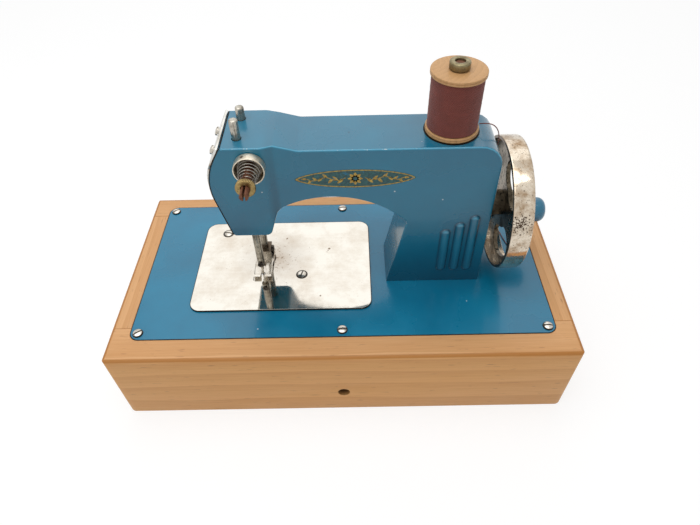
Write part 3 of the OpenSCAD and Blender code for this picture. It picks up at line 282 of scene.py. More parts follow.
def placed(name: str, data: bpy.types.ID) -> Obj:
    """Puts data into the scene.

    Args:
        name: The object's name.
        data: Its mesh, light or camera.

    Returns:
        The object.
    """
    obj = bpy.data.objects.new(name, data)
    bpy.context.scene.collection.objects.link(obj)
    return obj


def shade(mesh: Mesh, angle: float) -> None:
    """Shades faces as one surface where they meet at less than this angle in degrees."""
    mesh.shade_smooth()
    mesh.set_sharp_from_angle(angle=math.radians(angle))


def mark(mesh: Mesh, name: str, values: np.ndarray) -> None:
    """Writes a point attribute from 0 to 1, such as how far a point lies on a worn edge."""
    mesh.attributes.new(name, "FLOAT", "POINT").data.foreach_set("value", values.ravel().astype(np.float32))


def coordinates(mesh: Mesh) -> np.ndarray:
    """Reads a mesh's points.

    Args:
        mesh: The mesh.

    Returns:
        Rows of X, Y and Z, in metres.
    """
    rows = np.empty((len(mesh.vertices), 3), np.float32)
    mesh.vertices.foreach_get("co", rows.ravel())
    return rows


def ease_edges(obj: Obj, width: float, angle: float) -> None:
    """Eases a piece's sharp edges with a small bevel.

    Args:
        obj: The piece.
        width: Width of the bevel, in millimetres.
        angle: Edges sharper than this, in degrees, are eased.
    """
    ease = obj.modifiers.new("eased_edges", "BEVEL")
    ease.width = width * MM
    ease.segments = 2
    ease.limit_method = "ANGLE"
    ease.angle_limit = math.radians(angle)
    ease.harden_normals = True


def thicken(obj: Obj, thick: float) -> None:
    """Makes an open surface a sheet.

    Args:
        obj: The piece.
        thick: Thickness of the sheet, inwards, in millimetres.
    """
    wall = obj.modifiers.new("sheet", "SOLIDIFY")
    wall.thickness = thick * MM
    wall.offset = -1


def solid(name: str, points: np.ndarray, faces: Sequence[Sequence[int]], uv: Optional[np.ndarray] = None,
          smooth: float = SHARP, marks: Optional[dict[str, np.ndarray]] = None,
          turn_out: bool = True) -> Obj:
    """Puts points and faces into a new object, closes its seams and turns its faces outwards.

    Args:
        name: The piece's name.
        points: Points in millimetres.
        faces: Point numbers of each face.
        uv: A pair for each face corner, in the order of the faces.
        smooth: Faces that meet at less than this angle in degrees shade as one surface.
        marks: Point attributes from 0 to 1.
        turn_out: Whether the normals are worked out again, as on any closed form.

    Returns:
        The object, at the origin.
    """
    mesh = bpy.data.meshes.new(name)
    mesh.from_pydata((np.reshape(points, (-1, 3)) * MM).tolist(), [], [list(map(int, f)) for f in faces])
    if uv is not None:
        mesh.uv_layers.new(name="UVMap").data.foreach_set("uv", np.asarray(uv, np.float32).ravel())
    for key, values in (marks or {}).items():
        mark(mesh, key, values)
    shape = bmesh.new()
    shape.from_mesh(mesh)
    bmesh.ops.remove_doubles(shape, verts=shape.verts, dist=1e-7)
    bmesh.ops.dissolve_degenerate(shape, edges=shape.edges, dist=1e-8)
    if turn_out:
        bmesh.ops.recalc_face_normals(shape, faces=shape.faces)
    shape.to_mesh(mesh)
    shape.free()
    shade(mesh, smooth)
    return placed(name, mesh)


def band(name: str, rows: Sequence[np.ndarray], smooth: float = SHARP) -> Obj:
    """Joins closed lines to a ring, each line to the next and the last to the first."""
    return solid(name, np.vstack(rows), grid_faces(len(rows), len(rows[0]), True, True), smooth=smooth)


def turned(name: str, profile: np.ndarray, axis: Axis, centre: Pair, sides: int = 64, ring: bool = True,
           notches: int = 0, notch: float = 0.0) -> Obj:
    """Turns a profile round an axis: each point of it becomes a circle of its radius at its place along the axis.

    Args:
        name: The piece's name.
        profile: Rows of a radius and a place along the axis.
        axis: The axis of the turning.
        centre: The two other coordinates of the axis, in the order X, Y, Z.
        sides: Points round each circle.
        ring: Whether the profile closes on itself, as round a bore.
        notches: Number of rounded notches round the outside.
        notch: Depth of the notches at the profile's largest radius.

    Returns:
        The turned piece.
    """
    angle = circle(sides)
    radius, along = profile[:, :1], profile[:, 1:]
    if notches:
        outer = np.clip((radius - 0.8 * radius.max()) / (0.2 * radius.max()), 0, 1)
        radius = radius - notch * outer * np.abs(np.cos(angle * notches / 2)) ** 3
    points = around(axis, centre, radius, angle, along)
    return solid(name, points, grid_faces(len(profile), sides, ring, True))


def tube(name: str, path: np.ndarray, radius: float, sides: int, steady: Triple) -> Obj:
    """Carries a circle along a path, square to it, with its first point turned by a steady direction.

    Args:
        name: The piece's name.
        path: The middle line's points, in millimetres.
        radius: Radius of the tube.
        sides: Points round it.
        steady: A direction that the path never follows.

    Returns:
        The tube, closed at both ends, with its length in millimetres as the first UV coordinate.
    """
    ahead = units(np.gradient(path, axis=0))
    side = units(np.cross(ahead, np.asarray(steady)))
    up = np.cross(side, ahead)
    angle = circle(sides)[None, :, None]
    points = path[:, None] + radius * (np.cos(angle) * side[:, None] + np.sin(angle) * up[:, None])
    quads = grid_faces(len(path), sides, False, True)
    run = np.concatenate([[0], np.cumsum(np.linalg.norm(np.diff(path, axis=0), axis=1))])
    i, j = np.divmod(np.arange(len(quads)), sides)
    corner = np.stack([np.c_[run[i + a], (j + b) / sides] for a, b in ((0, 0), (0, 1), (1, 1), (1, 0))], 1)
    uv = np.vstack([corner.reshape(-1, 2), np.zeros((2 * sides, 2))])
    ends = np.arange(sides) + np.array([[0], [(len(path) - 1) * sides]])
    return solid(name, points, [*quads, *ends], uv=uv, smooth=80)


def spring(name: str, axis: Axis, centre: Pair, radii: Pair, ends: Pair, turns: int, wire: float, flat: float,
           sides: int, steps: int) -> Obj:
    """Winds a wire as a helix whose radius changes evenly and whose two ends lie flat.

    Args:
        name: The piece's name.
        axis: The spring's axis.
        centre: The two other coordinates of the axis.
        radii: Radius at the start and at the end.
        ends: Place of the start and of the end along the axis.
        turns: Number of turns.
        wire: Thickness of the wire.
        flat: Share of the length that lies flat at each end.
        sides: Points round the wire.
        steps: Points along each turn.

    Returns:
        The spring.
    """
    s = np.linspace(0, 1, turns * steps + 1)
    climb = np.clip((s - flat) / (1 - 2 * flat), 0, 1)
    path = around(axis, centre, radii[0] + (radii[1] - radii[0]) * s, FULL_TURN * turns * s,
                  ends[0] + (ends[1] - ends[0]) * climb)
    return tube(name, path, wire / 2, sides, tuple(float(a is axis) for a in Axis))


def flat_plates(name: str, outlines: Sequence[np.ndarray], y: float, thick: float) -> Obj:
    """Lays flat outlines on a plane that faces the front, each as one face with a little thickness.

    Args:
        name: The piece's name.
        outlines: Closed outlines, rows of X and Z in millimetres.
        y: Place of the plane.
        thick: Thickness of the plates, behind the plane.

    Returns:
        The plates as one object.
    """
    starts = np.cumsum([0] + [len(o) for o in outlines])
    near = at_depth(np.vstack(outlines), y)
    faces = []
    for start, stop in zip(starts[:-1], starts[1:]):
        front = np.arange(start, stop)
        behind = front + len(near)
        faces += [front, behind[::-1], *np.stack([front, np.roll(front, -1), np.roll(behind, -1), behind], -1)]
    return solid(name, np.vstack([near, near + [0, thick, 0]]), faces, smooth=30)


# Finishes


@dataclass(frozen=True)
class Finish:
    """A finish: one procedural material, made when it is first asked for."""

    name: str

    def material(self) -> bpy.types.Material:
        """Gives the material, with a Principled shader that takes its inputs from wire().

        Returns:
            The material of this name.
        """
        made = bpy.data.materials.get(self.name)
        if not made:
            made = bpy.data.materials.new(self.name)
            new = maker(made)
            shader = new("BsdfPrincipled", self.wire(new, new("TexCoord").outputs["Object"]))
            new("OutputMaterial", {"Surface": shader})
        return made

    def wire(self, new: Maker, place: Socket) -> dict[str, Value]:
        """Feeds the shader; each kind of finish has its own way.

        Args:
            new: Adds a node to the material.
            place: Object coordinates, in metres.

        Returns:
            The Principled shader's inputs.
        """
        raise NotImplementedError


@dataclass(frozen=True)
class StovedEnamel(Finish):
    """Blue enamel stoved on pressed steel: a clear gloss over soft clouds of tone, a faint orange peel,
    small dark specks, painted shade in the creases and towards the foot, a thin painted highlight line on upper
    edges, and pale chips on knocked edges and here and there on the flat."""

    deep: str = "#006a8c"
    pale: str = "#077fa3"
    highlight_tint: str = "#5cbadb"
    speck_and_shade: str = "#05394f"
    chip: str = "#d5dfe0"
    cloud_mm: float = 45.0
    peel_mm: float = 0.9
    speck_mm: float = 1.6
    chip_mm: float = 1.5
    nick_mm: float = 14.0
    foot_shade: float = 0.0
    foot_shade_span: Pair = (51.3, 92.0)

    def wire(self, new: Maker, place: Socket) -> dict[str, Value]:
        """Mixes two blues by clouds, lays specks, painted shade, a painted highlight and chips over them, and sways the
        gloss.

        Args:
            new: Adds a node to the material.
            place: Object coordinates, in metres.

        Returns:
            The Principled shader's inputs.
        """
        sizes = ((self.cloud_mm, 4.0), (self.speck_mm, 2.0), (self.chip_mm, 3.0), (self.peel_mm, 1.0))
        cloud, grit, knock, peel = (new("TexNoise", {"Vector": place, "Scale": per(size), "Detail": detail})
                                    for size, detail in sizes)
        # Point attributes: painted shade in creases, a painted highlight along upper edges, and where edges wear to
        # chips.
        crease, polish, edge = (new("Attribute", attribute_name=name).outputs["Fac"]
                                for name in ("crease", "polish", "edge"))
        even = new("ValToRGB", {"Fac": cloud}, stops=[(0.3, 0.0), (0.7, 1.0)])
        dots = new("ValToRGB", {"Fac": grit}, stops=[(0.72, 0.0), (0.78, 0.7)])
        # Painted shade: the enamel darkens towards the foot, below the top of its span.
        height = new("SeparateXYZ", [place]).outputs["Z"]
        low, high = self.foot_shade_span
        foot = new("MapRange", [height, low * MM, high * MM, self.foot_shade, 0.0],
                   interpolation_type="SMOOTHSTEP")
        worn = new("Math", [knock, edge], operation="MULTIPLY")
        chips = new("ValToRGB", {"Fac": worn}, stops=[(0.6, 0.0), (0.66, 1.0)])
        near = new("TexVoronoi", {"Vector": place, "Scale": per(self.nick_mm)})
        nicks = new("ValToRGB", {"Fac": near}, stops=[(0.02, 0.8), (0.035, 0.0)])
        bare = new("Math", [chips, nicks], operation="MAXIMUM")
        colour = self.deep
        for share, tone in ((even, self.pale), (dots, self.speck_and_shade), (crease, self.speck_and_shade), (foot, self.speck_and_shade),
                            (polish, self.highlight_tint), (bare, self.chip)):
            colour = new("Mix", {0: share, 6: colour, 7: tone}, data_type="RGBA")
        gloss = new("MapRange", [cloud, 0.3, 0.7, 0.2, 0.34])
        bump = new("Bump", {"Height": peel, "Strength": 0.05, "Distance": 0.0002})
        return {"Base Color": colour, "Roughness": gloss, "Normal": bump, "Coat Weight": 0.3, "Coat Roughness": 0.08}


@dataclass(frozen=True)
class WornMetal(Finish):
    """A bare or plated metal: a bright ground that clouds over with tarnish, dark pits where the plating went,
    fine streaks along one direction from polishing and handling, a stain with a dark film round it that is painted
    shade on the cup, a darkening up to a height along one axis, as in slots and seams, and single spots."""

    bright: str = "#d9d3c9"
    tarnish: str = "#b5aa9a"
    pit: str = "#54483a"
    rough: Pair = (0.16, 0.34)
    cloud_mm: float = 14.0
    pit_mm: float = 1.3
    pit_from: float = 0.66
    pit_soft: float = 0.09
    streak: Triple = (1.0, 1.0, 1.0)
    streak_mm: float = 1.2
    streak_share: float = 0.25
    stain_at: Optional[Triple] = None
    stain_mm: float = 20.0
    stain: float = 0.15
    film_and_shade: float = 0.0
    darkening: Optional[tuple[Axis, float, float]] = None
    darkening_share: float = 0.9
    spots: tuple[tuple[float, float, float, float], ...] = ()
    metallic: float = 1.0
    dent: float = 0.06

    def wire(self, new: Maker, place: Socket) -> dict[str, Value]:
        """Mixes bright metal, tarnish and pits by noise, with more pits near the stain and the pit colour in the
        darkening band and the spots, and streaks the gloss.

        Args:
            new: Adds a node to the material.
            place: Object coordinates, in metres.

        Returns:
            The Principled shader's inputs.
        """
        cloud = new("TexNoise", {"Vector": place, "Scale": per(self.cloud_mm), "Detail": 5.0, "Roughness": 0.62})
        dull = new("ValToRGB", {"Fac": cloud}, stops=[(0.42, 0.0), (0.72, 1.0)])
        lines = new("VectorMath", [place, self.streak], operation="MULTIPLY")
        drawn = new("TexNoise", {"Vector": lines, "Scale": per(self.streak_mm), "Detail": 3.0})
        streaks = new("MapRange", [drawn, 0.45, 0.75, 0.0, self.streak_share])
        spread = new("Math", [dull, streaks], operation="ADD", use_clamp=True)
        ground = new("Mix", {0: spread, 6: self.bright, 7: self.tarnish}, data_type="RGBA")
        pits = new("TexNoise", {"Vector": place, "Scale": per(self.pit_mm), "Detail": 3.0, "Roughness": 0.6})
        if self.stain_at:
            centre = [v * MM for v in self.stain_at]
            far = new("VectorMath", [place, centre], operation="DISTANCE")
            near = new("MapRange", [far, 0.0, self.stain_mm * MM, 1.0, 0.0])
            # The film round the stain darkens towards the pit colour; on the cup it is painted shade.
            more, veil = (new("Math", [near, share], operation="MULTIPLY")
                          for share in (self.stain, self.film_and_shade))
            pits = new("Math", [pits, more], operation="ADD")
            ground = new("Mix", {0: veil, 6: ground, 7: self.pit}, data_type="RGBA")
        holes = new("ValToRGB", {"Fac": pits},
                    stops=[(self.pit_from, 0.0), (self.pit_from + self.pit_soft, 1.0)])
        fades = []
        if self.darkening:
            axis, full, clean = self.darkening
            fades.append((new("SeparateXYZ", [place]).outputs[axis.value], full, clean))
        for *spot, radius in self.spots:
            far = new("VectorMath", [place, [v * MM for v in spot]], operation="DISTANCE")
            fades.append((far, radius / 2, radius))
        for off, full, clean in fades:
            dark = new("MapRange", [off, full * MM, clean * MM, self.darkening_share, 0.0])
            holes = new("Math", [holes, dark], operation="MAXIMUM")
        colour = new("Mix", {0: holes, 6: ground, 7: self.pit}, data_type="RGBA")
        worn = new("Math", [spread, holes], operation="ADD", use_clamp=True)
        gloss = new("MapRange", [worn, 0.0, 1.0, self.rough[0], self.rough[1]])
        low = new("Math", [1.0, holes], operation="SUBTRACT")
        bump = new("Bump", {"Height": low, "Strength": self.dent, "Distance": 0.0002})
        return {"Base Color": colour, "Roughness": gloss, "Normal": bump, "Metallic": self.metallic}


@dataclass(frozen=True)
class PlanedWood(Finish):
    """Planed and oiled hardwood: broad growth rings that run as bands along the board and as arcs on its ends,
    hair-fine fibres, and short dark flecks, with a satin surface. The sides are tinted yellower below the rim, the rim
    itself has a browner band, and painted shade darkens a drilled hole, more with depth."""

    light: str = "#dfab77"
    dark: str = "#cd945c"
    fleck: str = "#9c6a42"
    grain: Axis = Axis.X
    stretch: Pair = (0.12, 0.02)
    ring_mm: float = 9.0
    heart: Triple = (0.0, 30.0, -70.0)
    wander_mm: float = 40.0
    sway: float = 0.012
    fibre_mm: float = 0.45
    fleck_mm: float = 0.8
    contrast: float = 0.7
    side_tint: str = "#fffadf"
    rim_brown: str = "#a86814"
    rim: Pair = (48.6, 51.2)
    rim_share: float = 0.8
    top: float = 51.0
    hole: Optional[Pair] = None
    hole_r: Pair = (3.25, 3.6)
    hole_depth: Pair = (-65.0, -60.5)
    darkening: str = "#240d03"

    def wire(self, new: Maker, place: Socket) -> dict[str, Value]:
        """Draws rings round a far heart line that wander slowly, then fibres and flecks stretched along the grain,
        and lays the side tint, the rim band and the painted shade in the hole over them.

        Args:
            new: Adds a node to the material.
            place: Object coordinates, in metres.

        Returns:
            The Principled shader's inputs.
        """
        slow, fine = (tuple(share if axis is self.grain else 1.0 for axis in Axis) for share in self.stretch)
        shifted = new("VectorMath", [place, [-v * MM for v in self.heart]], operation="ADD")
        along, fibres, dashes = (new("VectorMath", [start, share], operation="MULTIPLY")
                                 for start, share in ((shifted, slow), (place, fine), (place, slow)))
        wander = new("TexNoise", {"Vector": along, "Scale": per(self.wander_mm), "Detail": 2.0}).outputs["Color"]
        sway = new("VectorMath", [wander, [self.sway] * 3], operation="MULTIPLY")
        bent = new("VectorMath", [along, sway], operation="ADD")
        rings = new("TexWave", {"Vector": bent, "Scale": 0.314 / (self.ring_mm * MM), "Distortion": 1.5,
                                      "Detail": 3.0, "Detail Scale": 1.5},
                    wave_type="RINGS", rings_direction=self.grain.name, wave_profile="SAW")
        ring = new("MapRange", [rings, 0.0, 1.0, 0.0, self.contrast])
        hair = new("TexNoise", {"Vector": fibres, "Scale": per(self.fibre_mm), "Detail": 4.0})
        tone = new("MapRange", [hair, 0.3, 0.7, -0.3, 0.3])
        both = new("Math", [ring, tone], operation="ADD", use_clamp=True)
        dash = new("TexNoise", {"Vector": dashes, "Scale": per(self.fleck_mm), "Detail": 1.0})
        few = new("ValToRGB", {"Fac": dash}, stops=[(0.68, 0.0), (0.78, 0.55)])
        across, depth, height = new("SeparateXYZ", [place]).outputs
        low, high = (z * MM for z in self.rim)
        below = new("MapRange", [height, low, high, 1.0, 0.0])
        climb = new("MapRange", [height, low, self.top * MM])
        held = new("ValToRGB", {"Fac": climb}, stops=[(0.35, 0.0), (0.6, self.rim_share),
                                                            (0.96, self.rim_share), (1.0, 0.0)])
        layers = [(both, self.dark, "MIX"), (few, self.fleck, "MIX"), (below, self.side_tint, "MULTIPLY"),
                  (held, self.rim_brown, "MIX")]
        # Painted shade in the drilled hole: darker near its axis and darker the deeper it goes.
        if self.hole:
            flat = new("CombineXYZ", {0: across, 2: height})
            middle = (self.hole[0] * MM, 0.0, self.hole[1] * MM)
            away = new("VectorMath", [flat, middle], operation="DISTANCE")
            inside, deeper = (new("MapRange", [off, ends[0] * MM, ends[1] * MM, start, stop])
                              for off, ends, start, stop in ((away, self.hole_r, 1.0, 0.0),
                                                             (depth, self.hole_depth, 0.35, 1.0)))
            layers.append((new("Math", [inside, deeper], operation="MULTIPLY"), self.darkening, "MIX"))
        colour = self.light
        for share, over, blend in layers:
            colour = new("Mix", {0: share, 6: colour, 7: over}, data_type="RGBA", blend_type=blend)
        gloss = new("MapRange", [hair, 0.0, 1.0, 0.42, 0.6])
        bump = new("Bump", {"Height": hair, "Strength": 0.12, "Distance": 0.0002})
        return {"Base Color": colour, "Roughness": gloss, "Normal": bump}


@dataclass(frozen=True)
class CottonThread(Finish):
    """Twisted cotton thread: matt with a soft sheen, each strand's rounding shown as a slanted band of painted
    highlight and shade.
    """

    light: str = "#8a4135"
    dark: str = "#59261c"
    twist_mm: float = 1.1
    dye_mm: float = 5.0

    def wire(self, new: Maker, place: Socket) -> dict[str, Value]:
        """Slants bands of painted highlight and shade across the thread's own length and girth, and sways the dye over
        a few millimetres.

        Args:
            new: Adds a node to the material.
            place: Object coordinates, in metres.

        Returns:
            The Principled shader's inputs.
        """
        # Painted highlight and shade along each strand of the twist.
        turn = new("VectorMath", [new("UVMap"), (1 / self.twist_mm, 2.0, 0.0)], operation="MULTIPLY")
        along, girth, _ = new("SeparateXYZ", [turn]).outputs
        slant = new("Math", [along, girth], operation="ADD")
        wave = new("Math", [slant, 0.5], operation="PINGPONG")
        dye = new("TexNoise", {"Vector": place, "Scale": per(self.dye_mm), "Detail": 4.0})
        even = new("MapRange", [dye, 0.25, 0.75, 0.4, 0.6])
        mixed = new("Math", [wave, even], operation="ADD")
        colour = new("ValToRGB", {"Fac": mixed}, stops=[(0.45, self.dark), (1.05, self.light)])
        bump = new("Bump", {"Height": wave, "Strength": 0.2, "Distance": 0.0001})
        return {"Base Color": colour, "Roughness": 0.82, "Normal": bump, "Sheen Weight": 0.3, "Sheen Roughness": 0.5}


@dataclass(frozen=True)
class WornTransfer(Finish):
    """A varnished transfer print: flat paint with a dry, slightly crazed surface, rubbed through to the blue."""

    paint: str = "#c8a548"
    shade: str = "#8d6d2c"
    under: str = "#1f7399"
    crazing_mm: float = 1.1
    rub_mm: float = 2.6
    rub_from: float = 0.62

    def wire(self, new: Maker, place: Socket) -> dict[str, Value]:
        """Mixes two tones of the paint by a fine noise and rubs through to the enamel where a coarser one is high.

        Args:
            new: Adds a node to the material.
            place: Object coordinates, in metres.

        Returns:
            The Principled shader's inputs.
        """
        fine = new("TexNoise", {"Vector": place, "Scale": per(self.crazing_mm), "Detail": 4.0})
        even = new("ValToRGB", {"Fac": fine}, stops=[(0.38, self.paint), (0.66, self.shade)])
        rub = new("TexNoise", {"Vector": place, "Scale": per(self.rub_mm), "Detail": 5.0, "Roughness": 0.7})
        gone = new("ValToRGB", {"Fac": rub}, stops=[(self.rub_from, 0.0), (self.rub_from + 0.04, 1.0)])
        colour = new("Mix", {0: gone, 6: even, 7: self.under}, data_type="RGBA")
        return {"Base Color": colour, "Roughness": 0.45}


ENAMEL = StovedEnamel("stoved_blue_enamel")
# The arm's enamel is a darker copy of the bed's as painted shade, and darkens further towards the foot as painted
# shade.
ARM_ENAMEL = StovedEnamel("stoved_blue_enamel_soiled_at_the_foot", deep="#006180", pale="#067796", foot_shade=0.65)
KNOB_PAINT = StovedEnamel("painted_beech_knob", deep="#13698c", pale="#217f9f", cloud_mm=18.0)
PLATE = WornMetal("worn_nickel_stitch_plate", bright="#d8d4cb", tarnish="#c6bdb0", pit="#6b5440",
                  stain_at=(-40.0, 6.0, 52.0), stain_mm=26.0, film_and_shade=0.42, pit_from=0.7, pit_mm=1.2,
                  streak=(0.05, 1.0, 1.0), streak_share=0.12, rough=(0.035, 0.14),
                  spots=((-8.0, 13.2, 52.2, 0.95), (-8.7, 11.8, 52.2, 0.5), (-9.3, 10.5, 52.2, 0.35),
                         (-34.3, 22.8, 52.2, 0.7), (-12.3, -23.9, 52.2, 0.6)))
# A dark finish for the head's seam dirt, the painted shadow lines round the plates and under the spool, and the dark
# rings round the screws.
SEAM_DIRT_AND_SHADOW = WornMetal("grimy_plate_edge", bright="#3a3631", tarnish="#24211e", rough=(0.5, 0.7))
NICKEL = WornMetal("nickel_plated_steel", bright="#d2ccc2", tarnish="#a59c8e", cloud_mm=6.0, pit_mm=0.7)
# The screws darken below a height: in the slot and round the head's foot.
BED_SCREW = replace(NICKEL, name="nickel_screw_with_dirty_slot", pit="#2a241e", darkening=(Axis.Z, 52.02, 52.22))
STITCH_SCREW = replace(NICKEL, name="nickel_plate_screw_with_dirty_slot", pit="#2a241e", darkening=(Axis.Z, 52.66, 52.74))
# Painted shade: the foot darkens towards brown from 57.9 mm up, where its top lies under the head's dark underside.
FOOT = replace(NICKEL, name="oil_browned_nickel_foot", pit="#3d2d1d", darkening=(Axis.Z, 58.5, 57.9))
CHROME = WornMetal("chromed_face_plate", bright="#dcdcd8", tarnish="#b3ada2", pit="#5a3d26", pit_from=0.63)
BAR_STEEL = WornMetal("drawn_steel_bar", bright="#b9b4a9", tarnish="#6b6356", streak=(1.0, 1.0, 0.04),
                      streak_mm=0.7, streak_share=0.6, cloud_mm=5.0, pit_mm=0.8, rough=(0.2, 0.42))
OILED_STEEL = WornMetal("oiled_mild_steel", bright="#8d8a84", tarnish="#5f5a52", pit="#3b2f25", rough=(0.3, 0.5))
RIM = WornMetal("pitted_nickel_rim", bright="#d9cdbb", tarnish="#94795a", pit="#4a3b2f", pit_from=0.6, pit_mm=0.8,
                cloud_mm=7.0, rough=(0.1, 0.32), dent=0.14, stain_at=(86.4, -30.5, 110.0), stain_mm=7.5, stain=0.2,
                darkening=(Axis.X, 82.55, 82.95))
GRIMY = WornMetal("grimy_nickel_web", bright="#746a59", tarnish="#352e25", pit="#1b1612", pit_from=0.58, pit_mm=1.6,
                  cloud_mm=12.0, rough=(0.25, 0.5))
SPRING_STEEL = WornMetal("rusty_spring_steel", bright="#98948c", tarnish="#544e47", pit="#5b3324", cloud_mm=4.0,
                         pit_mm=0.7, stain_at=(-40.2, -31.0, 135.8), stain_mm=11.0, stain=0.3, rough=(0.22, 0.45))
BLACKED = WornMetal("black_oxide_screw", bright="#4a443d", tarnish="#2b2622", pit="#17130f", cloud_mm=2.0, pit_mm=0.6,
                    rough=(0.25, 0.45))
BRASS = WornMetal("aged_brass", bright="#a18a5b", tarnish="#76623f", pit="#473723", cloud_mm=3.0, pit_mm=0.6,
                  pit_from=0.6, rough=(0.32, 0.5))
RUST = WornMetal("rusted_steel", bright="#7a4f37", tarnish="#5d3726", pit="#3a2218", cloud_mm=2.0, pit_mm=0.5,
                 rough=(0.5, 0.75), metallic=0.45, dent=0.2)
# Painted shade: a dark film inside the cup and round its back where it meets the arm, over real pits and a rust spot.
CUP = WornMetal("yellowed_nickel_cup", bright="#ded6c6", tarnish="#bdb099", pit="#4a321f", pit_from=0.68, cloud_mm=5.0,
                rough=(0.38, 0.55), stain_at=(-40.2, -14.6, 135.8), stain_mm=7.2, stain=0.6, film_and_shade=0.7,
                spots=((-42.6, -17.9, 142.8, 1.15),))
DULL_NUT = WornMetal("dull_zinc_nut", bright="#918767", tarnish="#6b6049", pit="#463a2a", cloud_mm=3.0, pit_mm=0.6,
                     pit_from=0.62, rough=(0.35, 0.55))
RAIL_WOOD = PlanedWood("oiled_alder_rail", hole=(0.0, 17.4))
END_WOOD = PlanedWood("oiled_alder_end_board", grain=Axis.Y, heart=(40.0, 0.0, -60.0), ring_mm=8.0)
SPOOL_WOOD = PlanedWood("birch_spool", light="#c99c69", dark="#ad8251", fleck="#7d5631", grain=Axis.Z, ring_mm=2.6,
                        heart=(44.0, 16.0, 0.0), fibre_mm=0.3, contrast=0.4)
THREAD = CottonThread("maroon_cotton_thread")
GILT = WornTransfer("gilt_transfer_paint")
GROUND = WornTransfer("green_transfer_ground", paint="#2c5f5f", shade="#1d3f44", rub_from=0.6)


# Fitting pieces to the frame


def dress(obj: Obj, finish: Finish, body: str = "frame",
          node: Optional[str] = None) -> Obj:
    """Gives a piece its slot, its finish, its body and the node that it stands for.

    Args:
        obj: The piece.
        finish: Its finish.
        body: The body that it moves with.
        node: The node that it hides. A piece whose name ends in _piece hides the node named before that.

    Returns:
        The same piece.
    """
    if obj.name.endswith("_piece"):
        node = obj.name.removesuffix("_piece")
    obj.data.materials.clear()
    obj.data.materials.append(finish.material())
    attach(obj, body)
    if node:
        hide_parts(node)
    LOG.info("%s rides on %s, finish %s", obj.name, body, finish.name)
    return obj


def softened(node: str, bevel: float, finish: Finish, body: str = "frame",
             shift: float = 0.0) -> Obj:
    """Copies a node's mesh, merges it, joins its flat faces and eases its edges with a small bevel.

    Args:
        node: The node that the copy stands for.
        bevel: Width of the eased edges, in millimetres.
        finish: Its finish.
        body: The body that it moves with.
        shift: How far the copy moves along X to sit on a surface that is fuller than the node's, in millimetres.

    Returns:
        The dressed copy.
    """
    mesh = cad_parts[node].data.copy()
    mesh.name = node + "_piece"
    mesh.transform(Matrix.Translation((shift * MM, 0.0, 0.0)))
    shape = bmesh.new()
    shape.from_mesh(mesh)
    bmesh.ops.remove_doubles(shape, verts=shape.verts, dist=2e-6)
    bmesh.ops.dissolve_limit(shape, angle_limit=math.radians(0.4), verts=shape.verts, edges=shape.edges)
    shape.to_mesh(mesh)
    shape.free()
    shade(mesh, SHARP)
    obj = placed(mesh.name, mesh)
    ease_edges(obj, bevel, SHARP)
    return dress(obj, finish, body)


def paint(finish: Finish, *nodes: str) -> None:
    """Puts a finish on nodes whose own shape is kept.

    Args:
        finish: The finish.
        nodes: Names of the nodes.
    """
    for node in nodes:
        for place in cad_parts[node].material_slots:
            place.material = finish.material()
        LOG.info("%s keeps its shape, finish %s", node, finish.name)


# The stage


